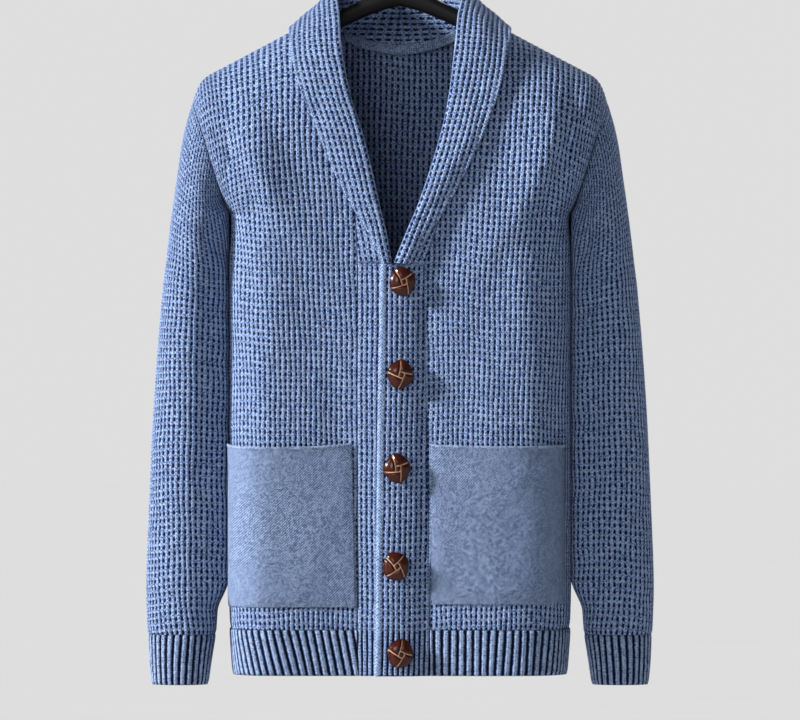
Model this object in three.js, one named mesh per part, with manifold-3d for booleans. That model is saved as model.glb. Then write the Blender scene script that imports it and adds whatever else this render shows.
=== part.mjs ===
// Shawl collar cardigan in waffle knit, buttoned up, filled out and hanging on a broad hanger.
// Millimetres, Z up. X runs to the viewer's right, which is the wearer's left, and Y to the back.
// Heights are given above the hem. The whole group is lowered at the end, so that the inside of
// the hook's crown, where the hanger rests on a rail, is the origin.

import * as THREE from "three";
import { mergeVertices } from "three/addons/utils/BufferGeometryUtils.js";
import Module from "manifold-3d";

const wasm = await Module();
wasm.setup();

// Driving sizes of the body
const armpitHeight = 484;
const neckHeight = 694;
const neckHalfWidth = 88;
const shoulderHalfWidth = 219;
const armholeHalfDepth = 62;
const bodyRoundness = 2.6;
const shoulderRoundness = 2.5;
const shoulderDrop = 0.537;
const neckRise = 0.18;
const cornerStart = 195;
const cornerDrop = 20.6;
const backNeckHeight = 662;

// Columns of points across each front panel, which its pocket shares
const frontColumns = 12;

// Cloth thicknesses and gaps
const wall = 2.4;
const seamGap = 0.3;
const halfGap = seamGap / 2 + 0.01;
const pocketWall = 1.6;
const bandWall = 2.7;
const ribRise = 1.3;
const collarRoll = 2.4;
const collarInset = 0.9;

// Ribbed hem and cuffs
const hemHeight = 48;
const cuffTop = 41.7;
const cuffBottom = -11;
const hemRibs = { frontLeft: 26, frontRight: 24, back: 59 };
const cuffRibs = 30;

// Button bands
const bandTop = 431;
const overBandReach = 14;
const underBandEdge = 12;

// Buttons, one row each from the top down: place on the band and turn of the weave
const buttonHalfWidth = 13.7;
const buttonHalfHeight = 15.4;
const buttonRise = 8.6;
const buttons = [
  { x: 1.6, height: 413, turn: 0.35 },
  { x: -0.5, height: 316, turn: -0.3 },
  { x: -3.7, height: 217.8, turn: 0.15 },
  { x: -4.8, height: 115.3, turn: 0.6 },
  { x: -0.5, height: 24.3, turn: -0.1 },
];

// Hanger
const hangerReach = 203;
const hangerTipStart = 180;
const hangerTipDrop = 6;
const hangerHubTop = 735;
const hangerHubBottom = 705;
const hookRod = 3.2;
const hookRadius = 22;
const hookCentre = 791;
const hookCrown = hookCentre + hookRadius - hookRod;

// Colours
const knitBlue = { color: 0x8ba6d4, roughness: 0.95, metalness: 0 };
const jerseyBlue = { color: 0x86a2d2, roughness: 0.95, metalness: 0 };
const buttonBrown = { color: 0x3a2319, roughness: 0.45, metalness: 0 };
const hangerBlack = { color: 0x121214, roughness: 0.4, metalness: 0 };

// Sections of the body below the armpit
const bodyRows = [
  { height: 0, half: 176, front: 90, back: 86 },
  { height: 50, half: 179.5, front: 93.5, back: 89 },
  { height: 110, half: 181, front: 96, back: 91 },
  { height: 250, half: 181, front: 96.5, back: 91 },
  { height: 390, half: 181, front: 97, back: 91 },
  { height: 484, half: 181, front: 97, back: 92 },
];

// Front edge of each front panel: the band seam, then the neckline under the collar
const frontEdgeRows = [
  { height: 0, left: 32, right: 45 },
  { height: 215, left: 29, right: 45 },
  { height: 431, left: 26, right: 45 },
  { height: 463, left: 36, right: 46 },
  { height: 490, left: 43, right: 48 },
  { height: 530, left: 53, right: 54 },
  { height: 570, left: 62.5, right: 62.5 },
  { height: 606, left: 70.5, right: 70.5 },
  { height: 645, left: 78.5, right: 78.5 },
  { height: 680, left: 85.3, right: 85.3 },
  { height: 694, left: 88, right: 88 },
];

// Free edge of the band that laps on top
const overEdgeRows = [
  { height: 0, x: -26.5 },
  { height: 60, x: -25.5 },
  { height: 246, x: -23.8 },
  { height: 431, x: -20.5 },
];

// Rings of the sleeve, from the armhole to the cuff seam: outer and inner point, half depth and
// how far the arm swings to the back
const sleeveRows = [
  { step: 0, outX: 219, outZ: 603, inX: 181, inZ: 484, depth: 62, y: 0 },
  { step: 1, outX: 229.5, outZ: 566, inX: 183.8, inZ: 473, depth: 64, y: -1 },
  { step: 2, outX: 236, outZ: 523, inX: 185.8, inZ: 459, depth: 65, y: -2 },
  { step: 3, outX: 242, outZ: 480, inX: 187.2, inZ: 441, depth: 64, y: -3 },
  { step: 4, outX: 247, outZ: 438, inX: 187.7, inZ: 420, depth: 61.5, y: -4.5 },
  { step: 5, outX: 252, outZ: 394, inX: 187.9, inZ: 388, depth: 58, y: -6 },
  { step: 6, outX: 260, outZ: 289, inX: 189, inZ: 289, depth: 51, y: -9 },
  { step: 7, outX: 265, outZ: 183, inX: 190, inZ: 183, depth: 46, y: -12 },
  { step: 8, outX: 268, outZ: 98, inX: 190.8, inZ: 98, depth: 43, y: -14 },
  { step: 9, outX: 266.5, outZ: 42, inX: 194, inZ: 42, depth: 39.5, y: -15 },
];

// Rings of the ribbed cuff
const cuffRows = [
  { step: 0, outX: 265, outZ: cuffTop, inX: 195, inZ: cuffTop, depth: 38, y: -15 },
  { step: 1, outX: 263.8, outZ: 14, inX: 199.5, inZ: 14, depth: 36.5, y: -15 },
  { step: 2, outX: 261.5, outZ: cuffBottom, inX: 203, inZ: cuffBottom, depth: 36, y: -15 },
];

// Stations of the collar from the V to the centre back: the sewn seam by its height at the front,
// or its place across at the back, the fold, and the free edge. x is measured away from the centre.
const collarLeft = [
  { seam: 431.3, foldX: -5.5, foldY: -103, foldZ: 432.6, edgeX: 9, edgeZ: 431.4 },
  { seam: 463, foldX: 9, foldY: -104, foldZ: 468, edgeX: 31, edgeZ: 463 },
  { seam: 490, foldX: 20, foldY: -103.5, foldZ: 494, edgeX: 51, edgeZ: 494 },
  { seam: 530, foldX: 33, foldY: -102.5, foldZ: 532, edgeX: 73, edgeZ: 535 },
  { seam: 570, foldX: 44, foldY: -99, foldZ: 570, edgeX: 90, edgeZ: 572 },
  { seam: 606, foldX: 52, foldY: -91, foldZ: 608, edgeX: 102, edgeZ: 606 },
  { seam: 645, foldX: 57, foldY: -77, foldZ: 648, edgeX: 110.5, edgeZ: 642 },
  { seam: 679, foldX: 61.5, foldY: -46, foldZ: 692, edgeX: 117, edgeZ: 673 },
];
const collarRight = [
  { seam: 431.3, foldX: 9.5, foldY: -101, foldZ: 432.6, edgeX: 19, edgeZ: 431.4 },
  { seam: 463, foldX: 15, foldY: -102.5, foldZ: 464, edgeX: 33, edgeZ: 465 },
  { seam: 490, foldX: 22, foldY: -103, foldZ: 492, edgeX: 50, edgeZ: 492 },
  { seam: 530, foldX: 30.5, foldY: -102.5, foldZ: 531, edgeX: 71, edgeZ: 531 },
  { seam: 570, foldX: 40.5, foldY: -99, foldZ: 570, edgeX: 87, edgeZ: 570 },
  { seam: 606, foldX: 52, foldY: -91, foldZ: 606, edgeX: 101, edgeZ: 604 },
  { seam: 645, foldX: 60.5, foldY: -77, foldZ: 648, edgeX: 112, edgeZ: 642 },
  { seam: 679, foldX: 64.5, foldY: -46, foldZ: 692, edgeX: 117, edgeZ: 673 },
];
const collarBack = [
  { seamX: 86.6, fold: [66, -2, 721], edge: [118.5, 2, 685] },
  { seamX: 71.2, fold: [52, 36, 727.5], edge: [100, 56, 669] },
  { seamX: 41.6, fold: [29, 50, 729.5], edge: [60, 77, 656] },
  { seamX: 0, fold: [0, 55, 730], edge: [0, 86, 650] },
];
const collarLift = 4.2;
const collarBulge = 2.2;

const lerp = THREE.MathUtils.lerp;
const clamp = THREE.MathUtils.clamp;

// Smooth value of one column at a place between the rows of a table
function readTable(rows, key, column, place) {
  const last = rows.length - 1;
  let i = 0;
  while (i < last - 1 && place > rows[i + 1][key]) i += 1;
  const slope = (k) => {
    const before = rows[Math.max(k - 1, 0)];
    const after = rows[Math.min(k + 1, last)];
    return (after[column] - before[column]) / (after[key] - before[key]);
  };
  const span = rows[i + 1][key] - rows[i][key];
  const f = clamp((place - rows[i][key]) / span, 0, 1);
  const start = 2 * f ** 3 - 3 * f ** 2 + 1;
  const leave = (f ** 3 - 2 * f ** 2 + f) * span;
  const arrive = (f ** 3 - f ** 2) * span;
  return start * rows[i][column] + (1 - start) * rows[i + 1][column]
    + leave * slope(i) + arrive * slope(i + 1);
}

// Height of the shoulder seam at a distance from the centre
function shoulderHeight(x) {
  const inward = Math.max(neckHalfWidth - x, 0) * neckRise;
  const outward = Math.max(x - neckHalfWidth, 0) * shoulderDrop;
  const corner = Math.max((x - cornerStart) / (shoulderHalfWidth - cornerStart), 0);
  return neckHeight + inward - outward - cornerDrop * corner ** 4;
}

// Half the body's width at a height, which follows the armhole above the armpit
function halfWidthAt(height) {
  if (height <= armpitHeight) return readTable(bodyRows, "height", "half", height);
  const t = (height - armpitHeight) / (neckHeight - armpitHeight);
  const low = bodyRows.at(-1).half;
  return lerp(low, shoulderHalfWidth, (1 - Math.cos(Math.PI * t)) / 2);
}

// Point of the body's outer surface. face is -1 at the front and 1 at the back, the angle runs
// from 0 at the centre line to a quarter turn at the side, and height counts along the neck side.
function bodyPoint(face, angle, height) {
  const sine = Math.abs(Math.sin(angle));
  const cosine = Math.abs(Math.cos(angle));
  const radius = (sine ** bodyRoundness + cosine ** bodyRoundness) ** (-1 / bodyRoundness);
  const across = radius * sine;
  const outward = radius * cosine;
  const x = across * halfWidthAt(height) * Math.sign(Math.sin(angle));
  const fullDepth = readTable(bodyRows, "height", face < 0 ? "front" : "back", height);
  if (height <= armpitHeight) {
    return new THREE.Vector3(x, face * (outward * fullDepth + halfGap), height);
  }
  const t = Math.min((height - armpitHeight) / (neckHeight - armpitHeight), 1);
  const armhole = armholeHalfDepth * Math.sin(Math.PI * t);
  const centre = fullDepth * (1 - t ** shoulderRoundness) ** (1 / shoulderRoundness);
  const depth = armhole + (centre - armhole) * outward;
  const rise = lerp(t, (1 - Math.cos(Math.PI * t)) / 2, across ** 6);
  const top = shoulderHeight(across * shoulderHalfWidth);
  return new THREE.Vector3(x, face * (depth + halfGap), lerp(armpitHeight, top, rise));
}

// Point of the body moved out along its surface normal
function bodySkin(face, angle, height, offset) {
  const quarter = Math.PI / 2;
  const point = bodyPoint(face, angle, height);
  const left = bodyPoint(face, clamp(angle - 0.004, -quarter, quarter), height);
  const right = bodyPoint(face, clamp(angle + 0.004, -quarter, quarter), height);
  const below = bodyPoint(face, angle, Math.max(height - 0.05, 0));
  const above = bodyPoint(face, angle, Math.min(height + 0.05, neckHeight));
  const normal = right.sub(left).cross(above.sub(below)).normalize();
  return point.addScaledVector(normal, -face * offset);
}

// Angle of the surface point that lies a distance across from the centre line
function angleAt(x, height) {
  const across = clamp(Math.abs(x) / halfWidthAt(height), 0, 0.9999);
  const outward = (1 - across ** bodyRoundness) ** (1 / bodyRoundness);
  return Math.atan2(across, outward) * Math.sign(x || 1);
}

// Surface point of the front or back at a distance across and a true height, moved out
function skinAt(face, x, z, offset) {
  let height = z;
  for (let pass = 0; pass < 12; pass += 1) {
    const found = bodyPoint(face, angleAt(x, height), height).z;
    height = Math.min(height + z - found, neckHeight);
  }
  return bodySkin(face, angleAt(x, height), height, offset);
}

// Angles that cut one row of the body into equal lengths
function equalAngles(face, height, from, to, count) {
  const fine = count * 6;
  const lengths = [0];
  let before = bodyPoint(face, from, height);
  for (let k = 1; k <= fine; k += 1) {
    const point = bodyPoint(face, lerp(from, to, k / fine), height);
    lengths.push(lengths[k - 1] + point.distanceTo(before));
    before = point;
  }
  const angles = [];
  let k = 0;
  for (let j = 0; j <= count; j += 1) {
    const target = lengths[fine] * j / count;
    while (k < fine - 1 && lengths[k + 1] < target) k += 1;
    const f = (target - lengths[k]) / Math.max(lengths[k + 1] - lengths[k], 1e-9);
    angles.push(lerp(from, to, (k + clamp(f, 0, 1)) / fine));
  }
  return angles;
}

// Geometry from points and triangles, turned right side out
function makeGeometry(points, triangles) {
  let volume = 0;
  for (const [a, b, c] of triangles) {
    volume += points[a].dot(points[b].clone().cross(points[c]));
  }
  const ordered = volume > 0 ? triangles : triangles.map(([a, b, c]) => [a, c, b]);
  const geometry = new THREE.BufferGeometry();
  const numbers = points.flatMap((point) => [point.x, point.y, point.z]);
  geometry.setAttribute("position", new THREE.Float32BufferAttribute(numbers, 3));
  geometry.setIndex(ordered.flat());
  return geometry;
}

// Closed cloth wall between two skins of one surface. skin(i, j, offset) gives the point of row i
// and column j, and outside may raise it there. A closed wall runs round into its own start.
function clothWall({ rows, columns, skin, inside, outside, closed = false }) {
  const stride = closed ? columns : columns + 1;
  const points = [];
  for (const side of [outside, inside]) {
    for (let i = 0; i <= rows; i += 1) {
      for (let j = 0; j < stride; j += 1) {
        points.push(skin(i, j, typeof side === "function" ? side(i, j) : side));
      }
    }
  }
  const outer = (i, j) => i * stride + (closed ? j % columns : j);
  const inner = (i, j) => outer(i, j) + (rows + 1) * stride;
  const triangles = [];
  const quad = (a, b, c, d) => triangles.push([a, b, c], [a, c, d]);
  for (let i = 0; i < rows; i += 1) {
    for (let j = 0; j < columns; j += 1) {
      quad(outer(i, j), outer(i, j + 1), outer(i + 1, j + 1), outer(i + 1, j));
      quad(inner(i, j), inner(i + 1, j), inner(i + 1, j + 1), inner(i, j + 1));
    }
  }
  for (let j = 0; j < columns; j += 1) {
    quad(outer(0, j + 1), outer(0, j), inner(0, j), inner(0, j + 1));
    quad(outer(rows, j), outer(rows, j + 1), inner(rows, j + 1), inner(rows, j));
  }
  if (!closed) {
    for (let i = 0; i < rows; i += 1) {
      quad(outer(i, 0), outer(i + 1, 0), inner(i + 1, 0), inner(i, 0));
      quad(outer(i + 1, columns), outer(i, columns), inner(i, columns), inner(i + 1, columns));
    }
  }
  return makeGeometry(points, triangles);
}

const cardigan = new THREE.Group();

// Adds one named piece to the cardigan
function addPiece(name, geometry, finish) {
  const mesh = new THREE.Mesh(geometry, new THREE.MeshStandardMaterial(finish));
  mesh.name = name;
  cardigan.add(mesh);
  return mesh;
}

// Heights of the rows of a full panel, closer together towards the shoulder seam
function panelHeights(lowSteps, highSteps) {
  const heights = [];
  for (let k = 0; k < lowSteps; k += 1) {
    heights.push(lerp(hemHeight + halfGap, bandTop, k / lowSteps));
  }
  heights.push(bandTop, (bandTop + armpitHeight) / 2, armpitHeight);
  for (let k = 1; k <= highSteps; k += 1) {
    const t = 1 - (1 - k / highSteps) ** 1.7;
    heights.push(lerp(armpitHeight, neckHeight, t));
  }
  return heights;
}

// Angle of a front panel's edge at the band or neckline
function frontEdgeAngle(side, height) {
  const column = side > 0 ? "left" : "right";
  return angleAt(readTable(frontEdgeRows, "height", column, height) + halfGap, height);
}

function addFront(name, side) {
  const columns = frontColumns;
  const heights = panelHeights(6, 8);
  const angles = heights.map((height) =>
    equalAngles(-1, height, frontEdgeAngle(side, height), Math.PI / 2, columns));
  const skin = (i, j, offset) => bodySkin(-1, side * angles[i][j], heights[i], offset);
  const rows = heights.length - 1;
  addPiece(name, clothWall({ rows, columns, skin, inside: -wall, outside: 0 }), knitBlue);
}

// Height at which a column of the back ends, on the shoulder seam or the neckline
function backTop(angle) {
  const x = Math.abs(bodyPoint(1, angle, neckHeight).x);
  if (x >= neckHalfWidth) return neckHeight;
  const drop = (neckHeight - backNeckHeight) * (1 - (x / neckHalfWidth) ** 2);
  const full = shoulderHeight(x) - armpitHeight;
  const part = (neckHeight - drop - armpitHeight) / full;
  return lerp(armpitHeight, neckHeight, part);
}

function addBack(name) {
  const neckColumns = 8;
  const shoulderColumns = 7;
  const columns = neckColumns + 2 * shoulderColumns;
  const heights = panelHeights(6, 8);
  const quarter = Math.PI / 2;
  const neck = angleAt(neckHalfWidth, neckHeight);
  const angles = [
    ...equalAngles(1, neckHeight, -quarter, -neck, shoulderColumns),
    ...equalAngles(1, neckHeight, -neck, neck, neckColumns).slice(1, -1),
    ...equalAngles(1, neckHeight, neck, quarter, shoulderColumns),
  ];
  const skin = (i, j, offset) => {
    const low = equalAngles(1, armpitHeight, -quarter, quarter, columns)[j];
    const share = clamp((heights[i] - armpitHeight) / (neckHeight - armpitHeight), 0, 1);
    const angle = lerp(low, angles[j], share);
    const height = heights[i] <= armpitHeight
      ? heights[i] : lerp(armpitHeight, backTop(angles[j]), share);
    return bodySkin(1, angle, height, offset);
  };
  const rows = heights.length - 1;
  addPiece(name, clothWall({ rows, columns, skin, inside: -wall, outside: 0 }), knitBlue);
}

// Ribbed hem from one edge to the other; every second column is the crest of a rib
function addHem(name, face, ribs, fromAt, toAt) {
  const rows = 1;
  const columns = 2 * ribs;
  const levels = [0, hemHeight - halfGap];
  const angles = levels.map((height) =>
    equalAngles(face, height, fromAt(height), toAt(height), columns));
  const skin = (i, j, offset) => bodySkin(face, angles[i][j], levels[i], offset);
  const outside = (i, j) => (j % 2 ? ribRise : 0) - 0.4;
  addPiece(name, clothWall({ rows, columns, skin, inside: -wall, outside }), knitBlue);
}

// Point of a sleeve or cuff ring, its size grown by the offset
function ringPoint(table, place, angle, side, offset) {
  const read = (column) => readTable(table, "step", column, place);
  const outer = new THREE.Vector3(read("outX"), 0, read("outZ"));
  const inner = new THREE.Vector3(read("inX"), 0, read("inZ"));
  const centre = outer.clone().add(inner).multiplyScalar(0.5);
  const arm = outer.sub(inner).multiplyScalar(0.5);
  const reach = arm.length();
  const round = 2.2;
  const size = (Math.abs(Math.cos(angle)) ** round + Math.abs(Math.sin(angle)) ** round);
  const radius = size ** (-1 / round);
  const point = centre.addScaledVector(arm, (1 + offset / reach) * radius * Math.cos(angle));
  point.y = read("y") + (read("depth") + offset) * radius * Math.sin(angle);
  point.x *= side;
  return point;
}

function addSleeve(name, side) {
  const columns = 20;
  const rows = 12;
  const last = sleeveRows.length - 1;
  const lean = sleeveRows[0];
  const normal = new THREE.Vector3(lean.outZ - lean.inZ, 0, lean.inX - lean.outX).normalize();
  const skin = (i, j, offset) => {
    const place = last * (i / rows);
    const flare = offset + (wall / 2) * Math.max(1 - place, 0);
    const point = ringPoint(sleeveRows, place, 2 * Math.PI * j / columns, 1, flare);
    if (i === 0) point.addScaledVector(normal, 1.5 * seamGap);
    point.x *= side;
    return point;
  };
  const shape = clothWall({ rows, columns, skin, inside: -wall, outside: 0, closed: true });
  addPiece(name, shape, knitBlue);
}

function addCuff(name, side) {
  const columns = 2 * cuffRibs;
  const skin = (i, j, offset) =>
    ringPoint(cuffRows, 2 * i, 2 * Math.PI * j / columns, side, offset);
  const outside = (i, j) => (j % 2 ? ribRise : 0) - 0.3;
  const shape = clothWall({ rows: 1, columns, skin, inside: -wall, outside, closed: true });
  addPiece(name, shape, knitBlue);
}

// Band of the wearer's right front, which lies under the other one
function addUnderBand(name) {
  const rows = 9;
  const columns = 5;
  const skin = (i, j, offset) => {
    const height = bandTop * i / rows;
    const edge = -readTable(frontEdgeRows, "height", "right", height) + halfGap;
    return bodySkin(-1, angleAt(lerp(edge, underBandEdge, j / columns), height), height, offset);
  };
  addPiece(name, clothWall({ rows, columns, skin, inside: -wall, outside: 0 }), knitBlue);
}

// Band of the wearer's left front, which laps on top and comes down to its own panel at the seam
function addOverBand(name) {
  const rows = 9;
  const columns = 7;
  const place = (i, j) => {
    const height = bandTop * i / rows;
    const free = readTable(overEdgeRows, "height", "x", height);
    const seam = readTable(frontEdgeRows, "height", "left", height) - halfGap;
    const x = j < columns - 2
      ? lerp(free, overBandReach, j / (columns - 2))
      : lerp(overBandReach, seam, (j - columns + 2) / 2);
    return { height, x, lift: 1 - clamp((x - overBandReach) / (seam - overBandReach), 0, 1) };
  };
  const skin = (i, j, offset) => {
    const { height, x, lift } = place(i, j);
    const raised = offset + lerp(-bandWall, seamGap, lift);
    return bodySkin(-1, angleAt(x, height), height, raised);
  };
  addPiece(name, clothWall({ rows, columns, skin, inside: 0, outside: bandWall }), knitBlue);
}

// Patch pocket on a front, made from the columns of the panel it lies on, its mouth a little open
function addPocket(name, side, sizes) {
  const rows = 6;
  const lastColumn = frontColumns - 2;
  const skin = (i, j, offset) => {
    const v = i / rows;
    const u = j / (lastColumn + 1);
    const dip = sizes.dip * Math.sin(Math.PI * u) ** 0.6;
    const height = lerp(sizes.bottom, sizes.top - dip, v);
    const quarter = Math.PI / 2;
    const panel = equalAngles(-1, height, frontEdgeAngle(side, height), quarter, frontColumns);
    const edgeX = j === 0 ? sizes.innerX + sizes.slant * (1 - v) : sizes.outerX;
    const angle = j === 0 || j > lastColumn ? angleAt(edgeX, height) : panel[j];
    const mouth = sizes.mouth * Math.sin(Math.PI * u) * v ** 4;
    return bodySkin(-1, side * angle, height, offset + mouth);
  };
  const columns = lastColumn + 1;
  const outside = seamGap + pocketWall;
  addPiece(name, clothWall({ rows, columns, skin, inside: seamGap, outside }), jerseyBlue);
}

// Stations of one half of the collar as points in space, from the V to the centre back
function collarStations(table, side) {
  const column = side > 0 ? "left" : "right";
  const stations = table.map((row) => {
    const seamX = readTable(frontEdgeRows, "height", column, row.seam) - collarInset;
    return {
      seam: bodySkin(-1, side * angleAt(seamX, row.seam), row.seam, -wall / 2),
      fold: new THREE.Vector3(side * row.foldX, row.foldY, row.foldZ),
      edge: skinAt(-1, side * row.edgeX, row.edgeZ, collarLift),
    };
  });
  for (const row of collarBack) {
    const angle = angleAt(row.seamX, neckHeight);
    const seam = bodySkin(1, side * angle, backTop(angle), -wall / 2);
    seam.x *= 1 - 2 * collarInset / neckHalfWidth;
    seam.z += 2 * collarInset;
    stations.push({
      seam,
      fold: new THREE.Vector3(side * row.fold[0], row.fold[1], row.fold[2]),
      edge: new THREE.Vector3(side * row.edge[0], row.edge[1], row.edge[2]),
    });
  }
  return stations;
}

// Section of the collar: up from the seam, round the roll of the fold and down to the free edge
function collarSection(seam, fold, edge, along) {
  const down = edge.clone().sub(fold).normalize();
  const up = along.clone().cross(down).normalize();
  const outward = new THREE.Vector3(fold.x, fold.y, 30);
  if (up.dot(outward) < 0) up.negate();
  const centre = fold.clone().addScaledVector(down, collarRoll);
  const onRoll = (turn) => centre.clone()
    .addScaledVector(down, -collarRoll * Math.cos(turn))
    .addScaledVector(up, collarRoll * Math.sin(turn));
  const under = onRoll(-Math.PI / 2);
  const over = onRoll(Math.PI / 2);
  const fall = (share) => over.clone().lerp(edge, share)
    .addScaledVector(up, collarBulge * Math.sin(Math.PI * share));
  return [
    seam.clone(), seam.clone().lerp(under, 0.5), under, onRoll(-Math.PI / 4), fold.clone(),
    onRoll(Math.PI / 4), over, fall(0.2), fall(0.45), fall(0.72), edge.clone(),
  ];
}

// Grid of points on the middle of a wall and the normals there
function gridNormals(grid) {
  const rows = grid.length - 1;
  const columns = grid[0].length - 1;
  return grid.map((line, i) => line.map((point, j) => {
    const across = line[Math.min(j + 1, columns)].clone().sub(line[Math.max(j - 1, 0)]);
    const along = grid[Math.min(i + 1, rows)][j].clone().sub(grid[Math.max(i - 1, 0)][j]);
    return across.cross(along).normalize();
  }));
}

// One half of the collar, folded over on itself
function collarGrid(table, side, steps) {
  const stations = collarStations(table, side);
  const curve = (key) => new THREE.CatmullRomCurve3(
    stations.map((station) => station[key]), false, "centripetal");
  const seams = curve("seam");
  const folds = curve("fold");
  const edges = curve("edge");
  const grid = [];
  for (let i = 0; i <= steps; i += 1) {
    const f = i / steps;
    grid.push(collarSection(
      seams.getPoint(f), folds.getPoint(f), edges.getPoint(f), folds.getTangent(f)));
  }
  grid.at(-1).forEach((point) => point.setX(side * halfGap));
  return grid;
}

function addCollar(name, table, side) {
  const grid = collarGrid(table, side, 17);
  const normals = gridNormals(grid);
  normals.at(-1).forEach((normal) => normal.setX(0).normalize());
  const skin = (i, j, offset) => grid[i][j].clone().addScaledVector(normals[i][j], offset);
  const shape = clothWall({
    rows: grid.length - 1, columns: grid[0].length - 1, skin, inside: -wall / 2, outside: wall / 2,
  });
  addPiece(name, shape, knitBlue);
}

// Plain tape that covers the neck seam on the inside of the back
function addNeckTape(name) {
  const columns = 12;
  const tapeHeight = 9;
  const tapeWall = 1.2;
  const reach = angleAt(60, neckHeight);
  const skin = (i, j, offset) => {
    const angle = lerp(-reach, reach, j / columns);
    const point = bodySkin(1, angle, backTop(angle), -wall - seamGap + offset);
    point.z += tapeHeight * (i - 0.35);
    point.y -= 1.2 + 1.3 * i;
    return point;
  };
  const shape = clothWall({ rows: 1, columns, skin, inside: -tapeWall, outside: 0 });
  addPiece(name, shape, jerseyBlue);
}

// Domed button of four crossing strands, flat at the back
function buttonGeometry(turn) {
  const around = 16;
  const rings = [
    { reach: 1, rise: 0 }, { reach: 1.03, rise: 0.4 }, { reach: 0.82, rise: 0.82 },
    { reach: 0.42, rise: 1 },
  ];
  const points = [];
  for (const ring of rings) {
    for (let k = 0; k < around; k += 1) {
      const angle = 2 * Math.PI * k / around;
      const lobe = 1 + 0.045 * Math.cos(4 * (angle - turn));
      const x = buttonHalfWidth * ring.reach * lobe * Math.cos(angle);
      const z = buttonHalfHeight * ring.reach * lobe * Math.sin(angle);
      points.push(new THREE.Vector3(x, -buttonRise * ring.rise, z));
    }
  }
  const back = points.push(new THREE.Vector3(0, 0, 0)) - 1;
  const top = points.push(new THREE.Vector3(0, -buttonRise * 0.97, 0)) - 1;
  const triangles = [];
  for (let k = 0; k < around; k += 1) {
    const next = (k + 1) % around;
    triangles.push([back, next, k]);
    for (let r = 0; r < rings.length - 1; r += 1) {
      const low = r * around;
      const high = low + around;
      triangles.push([low + k, low + next, high + next], [low + k, high + next, high + k]);
    }
    const last = (rings.length - 1) * around;
    triangles.push([last + k, last + next, top]);
  }
  return makeGeometry(points, triangles);
}

function addButtons() {
  buttons.forEach((button, index) => {
    const angle = angleAt(button.x, button.height);
    const cloth = bodySkin(-1, angle, button.height, 0);
    const seat = bodySkin(-1, angle, button.height, bandWall + 2 * seamGap + 0.1);
    const facing = seat.clone().sub(cloth).normalize();
    const mesh = addPiece(`button_${index + 1}`, buttonGeometry(button.turn), buttonBrown);
    mesh.position.copy(seat);
    mesh.quaternion.setFromUnitVectors(new THREE.Vector3(0, -1, 0), facing);
  });
}

// Top of the hanger, just under the cloth of the shoulder, and then up to the hub
function hangerTopAt(x) {
  const slope = Math.hypot(1, shoulderDrop);
  const clearance = (wall + 2.8 * seamGap) * slope;
  const tip = Math.max(x - hangerTipStart, 0) / (hangerReach - hangerTipStart);
  if (x >= neckHalfWidth) return shoulderHeight(x) - clearance - hangerTipDrop * tip ** 2;
  const side = shoulderHeight(neckHalfWidth) - clearance;
  const share = 1 - x / neckHalfWidth;
  return lerp(side, hangerHubTop, share * (0.78 + 0.22 * share));
}

function hangerBottomAt(x) {
  const share = clamp(x / neckHalfWidth, 0, 1);
  const arch = hangerHubBottom - 37 * share ** 1.35;
  if (x <= neckHalfWidth) return arch;
  const end = (x - neckHalfWidth) / (hangerReach - neckHalfWidth);
  return hangerTopAt(x) - lerp(hangerTopAt(neckHalfWidth) - arch, 17, end);
}

// Arms of the hanger as one lofted bar, wider from front to back towards the shoulders
function hangerArms() {
  const around = 12;
  const sections = 22;
  const points = [];
  for (let s = 0; s <= sections; s += 1) {
    const x = lerp(-hangerReach, hangerReach, s / sections);
    const out = Math.abs(x) / hangerReach;
    const top = hangerTopAt(Math.abs(x));
    const bottom = hangerBottomAt(Math.abs(x));
    const halfDepth = lerp(6, 19, out ** 1.4);
    for (let k = 0; k < around; k += 1) {
      const angle = 2 * Math.PI * k / around;
      const z = (top + bottom) / 2 + (top - bottom) / 2 * Math.sin(angle);
      points.push(new THREE.Vector3(x, halfDepth * Math.cos(angle), z));
    }
  }
  const triangles = [];
  for (let s = 0; s < sections; s += 1) {
    for (let k = 0; k < around; k += 1) {
      const a = s * around + k;
      const b = s * around + (k + 1) % around;
      triangles.push([a, b, b + around], [a, b + around, a + around]);
    }
  }
  for (let k = 1; k < around - 1; k += 1) {
    const far = sections * around;
    triangles.push([0, k + 1, k], [far, far + k, far + k + 1]);
  }
  return makeGeometry(points, triangles);
}

// Hook rod: up from the hub, round over the crown and down to its tip
function hangerHook() {
  const route = [[0, 724], [0, 740], [0, 754]];
  for (let degrees = -62; degrees <= 200; degrees += 18.7) {
    const turn = THREE.MathUtils.degToRad(degrees);
    route.push([hookRadius * Math.cos(turn), hookCentre + hookRadius * Math.sin(turn)]);
  }
  const path = new THREE.CatmullRomCurve3(
    route.map(([x, z]) => new THREE.Vector3(x, 0, z)), false, "centripetal");
  const section = new THREE.Shape();
  section.absarc(0, 0, hookRod, 0, 2 * Math.PI);
  return new THREE.ExtrudeGeometry(section, { steps: 30, curveSegments: 8, extrudePath: path });
}

// Solid for joining, from a closed geometry
function toSolid(geometry) {
  const bare = geometry.clone();
  bare.deleteAttribute("normal");
  bare.deleteAttribute("uv");
  const merged = mergeVertices(bare, 1e-4);
  return new wasm.Manifold(new wasm.Mesh({
    numProp: 3,
    vertProperties: new Float32Array(merged.attributes.position.array),
    triVerts: new Uint32Array(merged.index.array),
  }));
}

function addHanger(name) {
  const joined = toSolid(hangerArms()).add(toSolid(hangerHook())).getMesh();
  const geometry = new THREE.BufferGeometry();
  geometry.setAttribute("position", new THREE.BufferAttribute(joined.vertProperties, 3));
  geometry.setIndex(new THREE.BufferAttribute(joined.triVerts, 1));
  addPiece(name, geometry, hangerBlack);
}

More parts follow.
